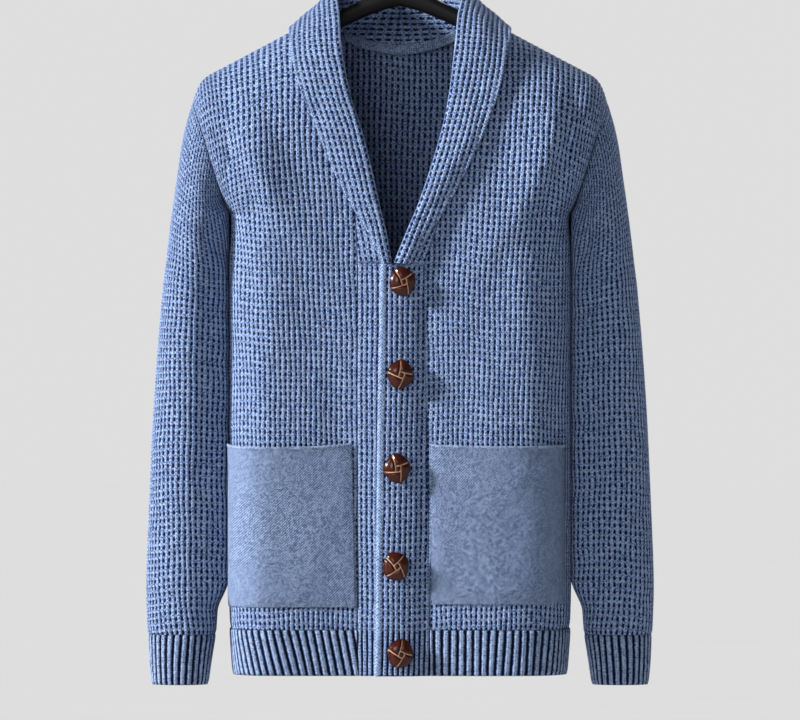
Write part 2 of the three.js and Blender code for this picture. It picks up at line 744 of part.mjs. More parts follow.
const frontLeftEdge = (height) => frontEdgeAngle(1, height);
const frontRightEdge = (height) => -frontEdgeAngle(-1, height);

addFront("front_left", 1);
addFront("front_right", -1);
addBack("back");
addHem("hem_front_left", -1, hemRibs.frontLeft, frontLeftEdge, () => Math.PI / 2);
addHem("hem_front_right", -1, hemRibs.frontRight, frontRightEdge, () => -Math.PI / 2);
addHem("hem_back", 1, hemRibs.back, () => -Math.PI / 2, () => Math.PI / 2);
addSleeve("sleeve_left", 1);
addSleeve("sleeve_right", -1);
addCuff("cuff_left", 1);
addCuff("cuff_right", -1);
addUnderBand("band_right");
addOverBand("band_left");
addPocket("pocket_left", 1, {
  innerX: 33, outerX: 176.5, top: 243, bottom: 75, dip: 2, slant: 0, mouth: 2.2,
});
addPocket("pocket_right", -1, {
  innerX: 50, outerX: 179.6, top: 245, bottom: 72, dip: 5, slant: -3.5, mouth: 3,
});
addCollar("collar_left", collarLeft, 1);
addCollar("collar_right", collarRight, -1);
addNeckTape("neck_tape");
addButtons();
addHanger("hanger");

cardigan.position.z = -hookCrown;

export default cardigan;
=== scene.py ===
"""Shawl collar cardigan in light blue waffle knit, buttoned up on a broad black hanger.

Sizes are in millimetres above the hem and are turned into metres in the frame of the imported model.
X runs to the viewer's right, which is the wearer's left, Y to the back and Z up.
"""

import math

import bpy
import numpy as np
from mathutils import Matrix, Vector


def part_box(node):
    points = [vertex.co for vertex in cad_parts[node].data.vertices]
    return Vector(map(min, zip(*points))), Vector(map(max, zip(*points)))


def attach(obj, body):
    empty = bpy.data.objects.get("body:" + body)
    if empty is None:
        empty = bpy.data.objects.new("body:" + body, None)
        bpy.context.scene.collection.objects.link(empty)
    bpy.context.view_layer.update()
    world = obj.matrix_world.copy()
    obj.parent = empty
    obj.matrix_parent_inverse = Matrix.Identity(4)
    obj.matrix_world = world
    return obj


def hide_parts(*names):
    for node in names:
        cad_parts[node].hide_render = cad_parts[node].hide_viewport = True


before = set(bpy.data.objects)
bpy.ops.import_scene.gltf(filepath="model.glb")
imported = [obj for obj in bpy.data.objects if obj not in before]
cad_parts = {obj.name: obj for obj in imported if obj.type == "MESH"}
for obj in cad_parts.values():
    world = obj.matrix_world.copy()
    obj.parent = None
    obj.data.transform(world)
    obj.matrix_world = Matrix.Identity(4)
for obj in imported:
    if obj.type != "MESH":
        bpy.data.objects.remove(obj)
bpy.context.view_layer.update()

bl_info = {
    "name": "Shawl Collar Cardigan",
    "version": (1, 0, 0),
    "blender": (4, 5, 0),
    "location": "View3D > Sidebar > Cardigan",
    "description": "Builds a waffle knit cardigan with a shawl collar on its hanger",
    "category": "Add Mesh",
}

# The band's lower end is the hem, from which all heights count
HEM_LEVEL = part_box("band_left")[0][2]
ROOT = "root"

# Driving sizes of the body in millimetres
ARMPIT = 484.0
NECK = 694.0
NECK_HALF = 88.0
SHOULDER_HALF = 219.0
ARMHOLE_DEPTH = 62.0
FRONT_ROUNDNESS = 3.6
BACK_ROUNDNESS = 2.6
SHOULDER_ROUNDNESS = 2.5
SHOULDER_DROP = 0.537
NECK_RISE = 0.18
CORNER_START = 195.0
CORNER_DROP = 20.6
BACK_NECK = 662.0
QUARTER = math.pi / 2

# Cloth thicknesses and gaps
WALL = 2.4
SEAM_GAP = 0.3
SIDE_GAP = -0.4
HALF_GAP = SEAM_GAP / 2 + 0.01
POCKET_WALL = 1.6
BAND_WALL = 2.7
COLLAR_ROLL = 2.4
COLLAR_INSET = 0.9
COLLAR_LIFT = 4.8
COLLAR_BULGE = 2.2

# Levels of the ribbing and of the bands
HEM_TOP = 48.0
CUFF_TOP = 41.7
CUFF_BOTTOM = -11.0
BAND_TOP = 431.7
OVER_BAND_REACH = 14.0
UNDER_BAND_EDGE = 12.0
UNDER_BAND_BARS = 0.85
SELVEDGE = 5.0

# Camera: millimetres that one pixel of the 800 by 720 frame shows, and the row where the hem lies
PIXEL = 1.0575
FRAME_WIDTH = 800
FRAME_MIDDLE_ROW = 360
HEM_ROW = 673
CAMERA_DISTANCE = 9.0


def table(names, *rows):
    """Columns of a short table as arrays, by name."""
    data = np.array(rows, dtype=float)
    return {name: data[:, k] for k, name in enumerate(names.split())}


BODY = table(
    "height half front back",
    (0, 176, 90, 86),
    (50, 179.5, 93.5, 89),
    (110, 181, 96, 91),
    (250, 181, 96.5, 91),
    (390, 181, 97, 91),
    (484, 181, 97, 92),
)
FRONT_EDGE = table(
    "height left right",
    (0, 32, 45),
    (215, 29, 45),
    (431, 26, 45),
    (463, 36, 46),
    (490, 43, 48),
    (530, 53, 54),
    (570, 62.5, 62.5),
    (606, 70.5, 70.5),
    (645, 78.5, 78.5),
    (680, 85.3, 85.3),
    (694, 88, 88),
)
OVER_EDGE = table("height x", (0, -26.5), (60, -25.5), (246, -23.8), (431, -20.5))
SLEEVE = table(
    "step out_x out_z in_x in_z depth y",
    (0, 219, 603, 181, 484, 62, 0),
    (1, 229.5, 566, 183.8, 473, 64, -1),
    (2, 236, 523, 185.8, 459, 65, -2),
    (3, 242, 480, 187.2, 441, 64, -3),
    (4, 247, 438, 187.7, 420, 61.5, -4.5),
    (5, 252, 394, 187.9, 388, 58, -6),
    (6, 260, 289, 189, 289, 51, -9),
    (7, 265, 183, 190, 183, 46, -12),
    (8, 268, 98, 190.8, 98, 43, -14),
    (9, 266.5, 42, 194, 42, 39.5, -15),
)
CUFF = table(
    "step out_x out_z in_x in_z depth y",
    (0, 265, CUFF_TOP, 195, CUFF_TOP, 38, -15),
    (1, 263.8, 14, 199.5, 14, 36.5, -15),
    (2, 261.5, CUFF_BOTTOM, 203, CUFF_BOTTOM, 36, -15),
)
COLLAR_LEFT = table(
    "seam fold_x fold_y fold_z edge_x edge_z",
    (431.3, -5.5, -103, 432.6, 9, 431.4),
    (463, 9, -104, 468, 31, 463),
    (490, 20, -103.5, 494, 51, 494),
    (530, 33, -102.5, 532, 73, 535),
    (570, 44, -99, 570, 90, 572),
    (606, 52, -91, 608, 102, 606),
    (645, 57, -77, 648, 110.5, 642),
    (679, 61.5, -46, 692, 114.6, 671),
)
COLLAR_RIGHT = table(
    "seam fold_x fold_y fold_z edge_x edge_z",
    (431.3, 9.5, -101, 432.6, 19, 431.4),
    (463, 15, -102.5, 464, 33, 465),
    (490, 22, -103, 492, 50, 492),
    (530, 30.5, -102.5, 531, 71, 531),
    (570, 40.5, -99, 570, 87, 570),
    (606, 52, -91, 606, 101, 604),
    (645, 60.5, -77, 648, 112, 642),
    (679, 64.5, -46, 692, 114.6, 671),
)
COLLAR_BACK = table(
    "seam_x fold_x fold_y fold_z edge_x edge_y edge_z",
    (86.6, 66, -2, 721, 115.6, 2, 681),
    (71.2, 52, 36, 727.5, 100, 56, 669),
    (41.6, 29, 50, 729.5, 60, 77, 656),
    (0, 0, 55, 730, 0, 86, 650),
)

# How far the fronts stand out beyond an even curve: a full chest on both sides of the bands
SWELL = table(
    "x out",
    (-181, 0), (-172, 5), (-163, 8.5), (-152, 10), (-140, 9), (-125, 6), (-108, 3), (-90, 0.5),
    (-70, -1.5), (-52, -2), (-38, -0.2), (-22, 1.9), (-4, 1.6), (22, -2.4), (45, -0.6), (80, 3.2),
    (112, 7), (130, 9.4), (148, 11.2), (161, 9.8), (172, 5), (181, 0),
)

# Width of a knit column by height: the columns come closer together towards the hem
COLUMN_PITCH = table("height pitch", (0, 5.15), (200, 5.25), (420, 5.5), (560, 5.9), (700, 6.1))
# Height of a knit row by height
ROW_PITCH = table("height pitch", (-50, 6.8), (300, 6.9), (480, 7.1), (600, 7.5), (760, 7.7))
# Share of the depth that counts towards the columns: they're stretched where the cloth turns back
SIDE_STITCHES = 0.6
SLEEVE_PITCH = 6.0
SLEEVE_ROW = 6.9
COLLAR_PITCH = 5.8
COLLAR_ROW = 7.0
BAND_PITCH = 5.45
RIB_ROW = 3.4
# Every how many vertices of the outer grid the inner one has its own
COARSE = (4, 4)
HEM_RIBS = {"left": 26, "right": 24, "back": 59}
CUFF_RIBS = 30


def read(tab, key, column, place):
    """Smooth values of a column at places between the rows of a table."""
    keys, values = tab[key], tab[column]
    slopes = np.empty_like(values)
    slopes[1:-1] = (values[2:] - values[:-2]) / (keys[2:] - keys[:-2])
    slopes[0] = (values[1] - values[0]) / (keys[1] - keys[0])
    slopes[-1] = (values[-1] - values[-2]) / (keys[-1] - keys[-2])
    i = np.clip(np.searchsorted(keys, place, side="right") - 1, 0, len(keys) - 2)
    span = keys[i + 1] - keys[i]
    f = np.clip((place - keys[i]) / span, 0, 1)
    start = 2 * f**3 - 3 * f**2 + 1
    leave = (f**3 - 2 * f**2 + f) * span
    arrive = (f**3 - f**2) * span
    return start * values[i] + (1 - start) * values[i + 1] + leave * slopes[i] + arrive * slopes[i + 1]


def mix(a, b, f):
    """Value a at f = 0 and b at f = 1."""
    return a + (b - a) * f


def smooth(low, high, value):
    """Soft step from 0 at low to 1 at high."""
    f = np.clip((value - low) / (high - low), 0, 1)
    return f * f * (3 - 2 * f)


def unit(vectors):
    """Vectors scaled to length 1."""
    return vectors / np.maximum(np.linalg.norm(vectors, axis=-1, keepdims=True), 1e-12)


def stack(x, y, z):
    """Points from their three coordinates."""
    return np.stack(np.broadcast_arrays(x, y, z), axis=-1).astype(float)


def run_along(points):
    """Distance along a line of points, from the first to each."""
    steps = np.linalg.norm(np.diff(points, axis=0), axis=1)
    return np.concatenate([[0], np.cumsum(steps)])


# Surface of the body


def shoulder_height(x):
    """Height of the shoulder seam at a distance from the centre."""
    inward = np.maximum(NECK_HALF - x, 0) * NECK_RISE
    outward = np.maximum(x - NECK_HALF, 0) * SHOULDER_DROP
    corner = np.maximum((x - CORNER_START) / (SHOULDER_HALF - CORNER_START), 0)
    return NECK + inward - outward - CORNER_DROP * corner**4


def half_width(height):
    """Half the body's width at a height, which follows the armhole above the armpit."""
    t = np.clip((height - ARMPIT) / (NECK - ARMPIT), 0, 1)
    upper = mix(BODY["half"][-1], SHOULDER_HALF, (1 - np.cos(math.pi * t)) / 2)
    return np.where(height <= ARMPIT, read(BODY, "height", "half", height), upper)


def roundness(face):
    """Exponent of the body's section: the front is flatter, with fuller corners."""
    return FRONT_ROUNDNESS if face < 0 else BACK_ROUNDNESS


def body_point(face, angle, height):
    """Outer surface: face is -1 at the front and 1 at the back, the angle 0 at the centre line."""
    angle, height = np.broadcast_arrays(np.asarray(angle, float), np.asarray(height, float))
    sine, cosine = np.abs(np.sin(angle)), np.abs(np.cos(angle))
    power = roundness(face)
    radius = (sine**power + cosine**power) ** (-1 / power)
    across, outward = radius * sine, radius * cosine
    x = across * half_width(height) * np.sign(np.sin(angle))
    full = read(BODY, "height", "front" if face < 0 else "back", height)
    t = np.clip((height - ARMPIT) / (NECK - ARMPIT), 0, 1)
    armhole = ARMHOLE_DEPTH * np.sin(math.pi * t)
    centre = full * (1 - t**SHOULDER_ROUNDNESS) ** (1 / SHOULDER_ROUNDNESS)
    rise = mix(t, (1 - np.cos(math.pi * t)) / 2, across**6)
    top = shoulder_height(across * SHOULDER_HALF)
    lower = height <= ARMPIT
    depth = np.where(lower, outward * full, armhole + (centre - armhole) * outward)
    z = np.where(lower, height, mix(ARMPIT, top, rise))
    if face < 0:
        depth = depth + read(SWELL, "x", "out", x) * smooth(660, 560, z)
    return stack(x, face * (depth + HALF_GAP), z)


def body_normal(face, angle, height):
    """Outward direction of the body's surface."""
    across = body_point(face, np.clip(angle + 0.004, -QUARTER, QUARTER), height)
    across = across - body_point(face, np.clip(angle - 0.004, -QUARTER, QUARTER), height)
    above = body_point(face, angle, np.minimum(height + 0.05, NECK))
    above = above - body_point(face, angle, np.maximum(height - 0.05, 0))
    return -face * unit(np.cross(across, above))


def body_skin(face, angle, height, offset):
    """Surface points moved out along their normals."""
    points = body_point(face, angle, height)
    return points + body_normal(face, angle, height) * np.asarray(offset)[..., None]


def angle_at(face, x, height):
    """Angle of the surface point at a distance across from the centre line."""
    across = np.clip(np.abs(x) / half_width(height), 0, 0.9999)
    outward = (1 - across ** roundness(face)) ** (1 / roundness(face))
    return np.arctan2(across, outward) * np.where(np.asarray(x) < 0, -1, 1)


def skin_at(face, x, z, offset):
    """Surface point at a distance across and a true height, moved out."""
    height = np.array(z, float)
    for _ in range(12):
        height = height + z - body_point(face, angle_at(face, x, height), height)[..., 2]
        height = np.minimum(height, NECK)
    return body_skin(face, angle_at(face, x, height), height, offset)


def even_angles(face, heights, start, end, columns):
    """For each row of the body, the angles that cut it into equal lengths."""
    fine = np.linspace(0, 1, 241)
    angles = start[:, None] + (end - start)[:, None] * fine
    points = body_point(face, angles, heights[:, None])
    steps = np.linalg.norm(np.diff(points, axis=1), axis=2)
    lengths = np.concatenate([np.zeros((len(heights), 1)), np.cumsum(steps, axis=1)], axis=1)
    share = np.linspace(0, 1, columns + 1)
    return np.stack([np.interp(share * row[-1], row, line) for row, line in zip(lengths, angles)])


def column_place(face, angle, height, z):
    """Number of knit columns between the centre line and a point."""
    fine = np.linspace(0, QUARTER, 400)
    section = body_point(face, fine, ARMPIT) * (1, SIDE_STITCHES, 1)
    along = np.interp(np.abs(angle), fine, run_along(section)) * half_width(height) / BODY["half"][-1]
    return np.sign(angle) * along / read(COLUMN_PITCH, "height", "pitch", z)


def row_place(z):
    """Number of knit rows above the hem."""
    heights = np.linspace(-50, 900, 475)
    pitch = read(ROW_PITCH, "height", "pitch", heights)
    rows = np.concatenate([[0], np.cumsum(np.diff(heights) / pitch[1:])])
    return np.interp(z, heights, rows)


def wander(c, r, amount=0.1):
    """Small drift of the knit columns and rows, as in a worn, hand-washed knit."""
    dc = np.sin(0.31 * r + 0.9 * np.sin(0.17 * c)) + 0.6 * np.sin(0.83 * r + 1.3 * c)
    dc = dc + 1.4 * np.sin(0.1 * r + 0.07 * c)
    dr = np.sin(0.43 * c + 0.7 * np.sin(0.21 * r)) + 2.6 * np.sin(0.15 * c + 0.06 * r)
    return c + amount * dc, r + 1.4 * amount * dr


def relief(c, r, bars, plain, depth):
    """Depth of the knit between its columns; bars close the slits into short holes."""
    groove = 0.5 - 0.5 * np.cos(2 * math.pi * c)
    bar = 0.5 + 0.5 * np.cos(2 * math.pi * r)
    hole = groove ** mix(2.2, 1.3, bars) * (1 - 0.6 * bar * bars)
    return -depth * hole * (1 - plain)


def creases(u, z, folds):
    """Sum of soft troughs and ridges, each a bent line with its own length, width and depth."""
    total = np.zeros(np.broadcast(u, z).shape)
    for at_u, at_z, lean, length, width, height, bend in folds:
        turn = math.radians(lean)
        along = (u - at_u) * math.sin(turn) + (z - at_z) * math.cos(turn)
        aside = (u - at_u) * math.cos(turn) - (z - at_z) * math.sin(turn)
        aside = aside - bend * (along / length) ** 2
        total += height * np.exp(-((aside / width) ** 2)) * np.exp(-((along / length) ** 4))
    return total


# Meshes


def to_metres(points):
    """Millimetres above the hem into metres in the frame."""
    out = np.asarray(points, float) / 1000.0
    out[..., 2] += HEM_LEVEL
    return out


def mesh_object(name, verts, faces, material, attributes=None):
    """New object from arrays: faces is a list of index arrays, one for each number of corners."""
    mesh = bpy.data.meshes.new(name)
    mesh.vertices.add(len(verts))
    mesh.vertices.foreach_set("co", np.ascontiguousarray(verts, np.float32).ravel())
    corners = np.concatenate([group.ravel() for group in faces])
    sizes = np.concatenate([np.full(len(group), group.shape[1]) for group in faces])
    mesh.loops.add(len(corners))
    mesh.loops.foreach_set("vertex_index", corners.astype(np.int32))
    mesh.polygons.add(len(sizes))
    starts = np.concatenate([[0], np.cumsum(sizes)[:-1]])
    mesh.polygons.foreach_set("loop_start", starts.astype(np.int32))
    mesh.polygons.foreach_set("use_smooth", np.full(len(sizes), True))
    mesh.update(calc_edges=True)
    for key, values in (attributes or {}).items():
        vector = values.ndim > 1
        layer = mesh.attributes.new(key, "FLOAT_VECTOR" if vector else "FLOAT", "POINT")
        layer.data.foreach_set("vector" if vector else "value", values.astype(np.float32).ravel())
    mesh.validate()
    mesh.materials.append(material)
    obj = bpy.data.objects.new(name, mesh)
    bpy.context.scene.collection.objects.link(obj)
    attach(obj, ROOT)
    return obj


def shell(name, outer, inner, material, attributes):
    """Closed cloth: a fine outer grid, a coarse inner grid every few steps, and the edges between."""
    rows, cols = outer.shape[0] - 1, outer.shape[1] - 1
    row_step, col_step = COARSE
    fine = np.arange((rows + 1) * (cols + 1)).reshape(rows + 1, cols + 1)
    back = inner[::row_step, ::col_step]
    coarse = fine.size + np.arange(back.shape[0] * back.shape[1]).reshape(back.shape[:2])
    quads = np.stack([fine[:-1, :-1], fine[:-1, 1:], fine[1:, 1:], fine[1:, :-1]], -1).reshape(-1, 4)
    under = [coarse[:-1, :-1], coarse[1:, :-1], coarse[1:, 1:], coarse[:-1, 1:]]
    under = np.stack(under, -1).reshape(-1, 4)

    def rim(line, inside, step, forward):
        """Faces between one edge of the fine grid and the same edge of the coarse one."""
        faces = []
        for k in range(len(inside) - 1):
            run = line[k * step : (k + 1) * step + 1]
            face = list(run) + [inside[k + 1], inside[k]]
            faces.append(face if forward else face[::-1])
        return np.array(faces)

    rims = [
        rim(fine[0], coarse[0], col_step, False),
        rim(fine[-1], coarse[-1], col_step, True),
        rim(fine[:, 0], coarse[:, 0], row_step, True),
        rim(fine[:, -1], coarse[:, -1], row_step, False),
    ]
    faces = [quads, under, *rims]
    middle = (rows // 2, cols // 2)
    step_u = outer[middle[0], middle[1] + 1] - outer[middle]
    step_v = outer[middle[0] + 1, middle[1]] - outer[middle]
    if np.dot(np.cross(step_u, step_v), outer[middle] - inner[middle]) < 0:
        faces = [group[:, ::-1] for group in faces]
    verts = np.concatenate([outer.reshape(-1, 3), back.reshape(-1, 3)])
    data = {}
    for key, values in attributes.items():
        tail = values.shape[2:]
        picked = values[::row_step, ::col_step]
        data[key] = np.concatenate([values.reshape(-1, *tail), picked.reshape(-1, *tail)])
    return mesh_object(name, to_metres(verts), faces, material, data)


def declare(obj, base, node):
    """Hides the imported part that a knitted piece stands for and gives the piece back; base is not
    used.
    """
    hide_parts(node)
    return obj


def stitch_data(c, r, bars, plain):
    """Attributes that tell the knit's material where a point lies in the stitches."""
    c, r, bars, plain = np.broadcast_arrays(c, r, bars, plain)
    return {"stitch": np.stack([c, r, bars], -1).astype(float), "plain": plain.astype(float)}


# Panels of the body

CHEST_FOLDS = (
    # Across from the centre, height, lean in degrees, length, width, height of the fold, bend
    (163, 520, 22, 62, 11, -4.6, 9),
    (134, 500, 30, 80, 15, 2.6, -10),
    (166, 440, 16, 60, 9, -2.6, 6),
    (100, 400, 8, 90, 16, -1.3, 8),
    (140, 330, -6, 110, 15, 1.4, -6),
    (70, 300, 5, 95, 14, -1.2, 5),
    (120, 560, 30, 60, 15, -1.6, 6),
    (160, 260, 4, 80, 11, -1.5, 5),
)
BACK_FOLDS = (
    (0, 520, 0, 120, 20, -3.6, 0),
    (85, 470, 24, 85, 14, -4.2, 8),
    (-92, 455, -28, 90, 13, -4.4, -9),
    (125, 380, 10, 110, 15, 3.2, 6),
    (-118, 350, -12, 100, 16, 3.0, -8),
    (45, 300, 6, 130, 16, -3.2, 7),
    (-50, 250, -4, 120, 17, -3.0, -5),
    (150, 505, 48, 55, 11, -3.4, 6),
    (-152, 500, -46, 60, 10, -3.2, -7),
    (95, 160, 3, 90, 14, 2.6, 4),
    (-100, 140, -6, 80, 14, 2.4, -4),
)


def panel_rows(count_low, count_high):
    """Heights of a panel's rows from the hem rib to the shoulder, closer near the top."""
    low = np.linspace(HEM_TOP + HALF_GAP, ARMPIT, count_low + 1)
    t = 1 - (1 - np.linspace(0, 1, count_high + 1)[1:]) ** 1.45
    return np.concatenate([low, mix(ARMPIT, NECK, t)])


def seam_dip(u, v, width_u, width_v):
    """Dip of the cloth along the seams at the edges of a panel."""
    near_u = np.minimum(u, 1 - u) / width_u
    near_v = np.minimum(v, 1 - v) / width_v
    return np.exp(-(near_u**2)) + np.exp(-(near_v**2))


def knit_panel(name, face, angles, heights, folds, material, settings):
    """One body panel as a knitted shell: angles and heights give its grid."""
    rows, cols = angles.shape[0] - 1, angles.shape[1] - 1
    base = body_point(face, angles, heights)
    c = column_place(face, angles, heights, base[..., 2])
    climb = np.linalg.norm(np.diff(base, axis=0) * (0, 0.8, 1), axis=2)
    climb = np.concatenate([np.zeros((1, cols + 1)), np.cumsum(climb, axis=0)])
    c, r = wander(c, row_place(base[:1, :, 2] + climb))
    u = np.linspace(0, 1, cols + 1)[None, :]
    v = np.linspace(0, 1, rows + 1)[:, None]
    dip = -0.9 * seam_dip(u, v, 1.6 / cols * 2, 1.6 / rows * 2)
    fade = smooth(0, 0.04, np.minimum(np.minimum(u, 1 - u), np.minimum(v, 1 - v)) + 0 * u * v)
    soft = creases(base[..., 0], base[..., 2], folds) * fade
    height = relief(c, r, 1.0, 0.0, settings.knit_depth * 1000)
    outer = body_skin(face, angles, heights, height + soft + dip)
    inner = body_skin(face, angles, heights, soft + dip - WALL)
    obj = shell(name, outer, inner, material, stitch_data(c, r, 1.0, 0.0))
    return obj, base


def front_edge(side, heights):
    """Angles of a front's edge at the band or the neckline."""
    column = "left" if side > 0 else "right"
    return angle_at(-1, read(FRONT_EDGE, "height", column, heights) + HALF_GAP, heights)


def build_front(side, material, settings):
    """One front from the side seam and armhole to the band and neckline."""
    word = "left" if side > 0 else "right"
    heights = panel_rows(252, 120)
    start = front_edge(side, heights)
    angles = side * even_angles(-1, heights, start, np.full_like(start, QUARTER), 148)
    grid = np.broadcast_to(heights[:, None], angles.shape)
    folds = [(side * u, z, side * lean, size, wide, high, side * bend)
             for u, z, lean, size, wide, high, bend in CHEST_FOLDS]
    obj, base = knit_panel(f"knit_front_{word}", -1, angles, grid, folds, material, settings)
    return declare(obj, base, f"front_{word}")


def back_top(angle):
    """Height along the neck side at which a column of the back ends."""
    x = np.abs(body_point(1, angle, NECK)[..., 0])
    drop = (NECK - BACK_NECK) * (1 - (x / NECK_HALF) ** 2)
    part = (NECK - drop - ARMPIT) / (shoulder_height(x) - ARMPIT)
    return np.where(x >= NECK_HALF, NECK, mix(ARMPIT, NECK, part))


def build_back(material, settings):
    """The back in one piece, from side to side."""
    columns = 240
    ends = np.array([QUARTER])
    low = even_angles(1, np.array([ARMPIT]), -ends, ends, columns)[0]
    high = even_angles(1, np.array([NECK]), -ends, ends, columns)[0]
    heights = panel_rows(208, 96)[:, None]
    share = np.clip((heights - ARMPIT) / (NECK - ARMPIT), 0, 1)
    angles = mix(low[None, :], high[None, :], share)
    grid = np.where(heights <= ARMPIT, heights, mix(ARMPIT, back_top(high)[None, :], share))
    obj, base = knit_panel("knit_back", 1, angles, grid, BACK_FOLDS, material, settings)
    return declare(obj, base, "back")


def build_hem(node, face, ribs, start, end, material):
    """Ribbed hem between two edges, given as functions of the height."""
    per_rib, rows = 8, 12
    columns = ribs * per_rib
    side_lean = 2 if node == "hem_front_right" else 0
    heights = np.linspace(0, HEM_TOP - HALF_GAP, rows + 1)
    angles = even_angles(face, heights, start(heights), end(heights), columns)
    grid = np.broadcast_to(heights[:, None], angles.shape)
    c = np.linspace(0, ribs, columns + 1)[None, :] + 0.5 * side_lean * (1 - grid / HEM_TOP)
    c = c + 0.06 * np.sin(c * 0.9 + grid * 0.05) * np.sin(math.pi * c / ribs)
    edge = -1.5 * smooth(6, 0, grid) - 0.7 * smooth(HEM_TOP - 6, HEM_TOP, grid)
    rib = relief(c, 0, 0.0, 0.0, 1.7) + 0.9
    outer = body_skin(face, angles, grid, rib + edge * 0.6)
    inner = body_skin(face, angles, grid, np.full(grid.shape, -WALL) + 0.3 * edge)
    data = stitch_data(c, grid / RIB_ROW, 0.0, 0.0)
    obj = shell(f"rib_{node}", outer, inner, material, data)
    return declare(obj, body_point(face, angles, grid), node)


# Sleeves and cuffs

SLEEVE_FOLDS = (
    # Distance round from the outer line, height, lean in degrees, length, width, height, bend
    (-104, 452, 34, 46, 12, -2.6, 8),
    (-72, 424, 52, 40, 12, -1.4, -6),
    (-100, 384, 62, 34, 9, -1.8, 6),
    (-66, 352, 70, 38, 11, 1.2, -5),
    (-98, 330, 74, 36, 9, -1.7, 5),
    (-60, 298, 66, 42, 12, -1.3, 6),
    (-92, 268, 72, 34, 9, -1.6, -5),
    (-52, 236, 60, 40, 12, 1.1, 5),
    (-88, 204, 70, 36, 9, -1.5, 5),
    (-54, 160, 64, 42, 12, -1.2, -6),
    (-84, 122, 72, 34, 9, -1.5, 4),
    (-56, 76, 78, 44, 9, -1.5, 4),
    (70, 440, -48, 50, 13, -2.0, -8),
    (96, 372, -62, 40, 10, -1.8, 6),
    (62, 318, -66, 44, 12, -1.5, -8),
    (88, 262, 58, 40, 10, -1.6, 8),
    (56, 200, -62, 44, 12, -1.4, -6),
    (80, 132, -70, 38, 10, -1.5, 5),
    (58, 80, -76, 42, 9, -1.4, 4),
)


def ring_point(tab, place, angle, side, offset):
    """Point of a sleeve or cuff ring, its size grown by the offset."""
    value = {key: read(tab, "step", key, place) for key in tab}
    centre_x = (value["out_x"] + value["in_x"]) / 2
    centre_z = (value["out_z"] + value["in_z"]) / 2
    arm_x = (value["out_x"] - value["in_x"]) / 2
    arm_z = (value["out_z"] - value["in_z"]) / 2
    reach = np.hypot(arm_x, arm_z)
    cosine, sine = np.cos(angle), np.sin(angle)
    radius = (np.abs(cosine) ** 2.2 + np.abs(sine) ** 2.2) ** (-1 / 2.2)
    grown = (1 + offset / reach) * radius * cosine
    y = value["y"] + (value["depth"] + offset) * radius * sine
    return stack(side * (centre_x + arm_x * grown), y, centre_z + arm_z * grown)


def ring_grid(tab, rows, columns):
    """Places and angles of a tube's grid, evenly spaced round and along, opened at the underarm."""
    fine = np.linspace(0, 1, 400) * tab["step"][-1]
    middle = ring_point(tab, fine, 0.0, 1, 0.0)
    run = run_along(middle)
    places = np.interp(np.linspace(0, run[-1], rows + 1), run, fine)
    turns = np.linspace(-math.pi, math.pi, 401)
    angles, around = [], []
    for place in places:
        ring = ring_point(tab, place, turns, 1, 0.0)
        length = run_along(ring)
        even = np.linspace(0, length[-1], columns + 1)
        angles.append(np.interp(even, length, turns))
        around.append(even - length[-1] / 2)
    along = np.broadcast_to(np.linspace(0, run[-1], rows + 1)[:, None], (rows + 1, columns + 1))
    return places[:, None], np.array(angles), np.array(around), along


# Heights over which a sleeve comes up to the body's side, below the armpit and above the cuff
HUG_UPPER = (500, 486)
HUG_LOWER = (66, 102)


def hug(points, angle, side):
    """How far a sleeve's points move inward, so that it lies against the body's side."""
    z = points[..., 2]
    half = half_width(np.clip(z, 0, ARMPIT))
    turn = np.linspace(QUARTER / 2, QUARTER, 200)
    section = np.concatenate([body_point(-1, turn, ARMPIT), body_point(1, turn[::-1], ARMPIT)])
    beside = np.interp(points[..., 1], section[:, 1], section[:, 0]) / BODY["half"][-1]
    target = half * np.maximum(beside, 0.985) + SIDE_GAP
    near = smooth(0.3 if side < 0 else 0.5, 0.95, -np.cos(angle))
    near = near * smooth(*HUG_UPPER, z) * smooth(*HUG_LOWER, z)
    move = np.minimum(target - side * points[..., 0], 0) * near
    return stack(side * move, 0, 0)


def build_sleeve(side, material, settings):
    """One sleeve, its seam under the arm."""
    word = "left" if side > 0 else "right"
    rows, columns = 312, 180
    place, angle, around, along = ring_grid(SLEEVE, rows, columns)
    base = ring_point(SLEEVE, place, angle, side, 0.0)
    shift = hug(base, angle, side)
    soft = creases(around, base[..., 2], SLEEVE_FOLDS) * smooth(0.99, 0.8, np.abs(np.cos(angle)))
    steps = np.linalg.norm(np.diff(base + shift, axis=1), axis=2)
    run = np.concatenate([np.zeros((rows + 1, 1)), np.cumsum(steps, axis=1)], axis=1)
    c, r = wander((run - run[:, columns // 2, None]) / SLEEVE_PITCH, along / SLEEVE_ROW)
    ends = np.minimum(along, along[-1, 0] - along)
    soft = soft * smooth(0, 22, ends)
    flare = WALL / 2 * np.maximum(1 - place, 0)
    dip = -1.1 * np.exp(-((ends / 2.6) ** 2)) + flare
    height = relief(c, r, 1.0, 0.0, settings.knit_depth * 1000)
    outer = ring_point(SLEEVE, place, angle, side, height + soft + dip)
    inner = ring_point(SLEEVE, place, angle, side, soft + dip - WALL)
    outer, inner = outer + shift, inner + shift
    data = stitch_data(c, r, 1.0, 0.0)
    obj = shell(f"knit_sleeve_{word}", outer, inner, material, data)
    return declare(obj, base, f"sleeve_{word}")


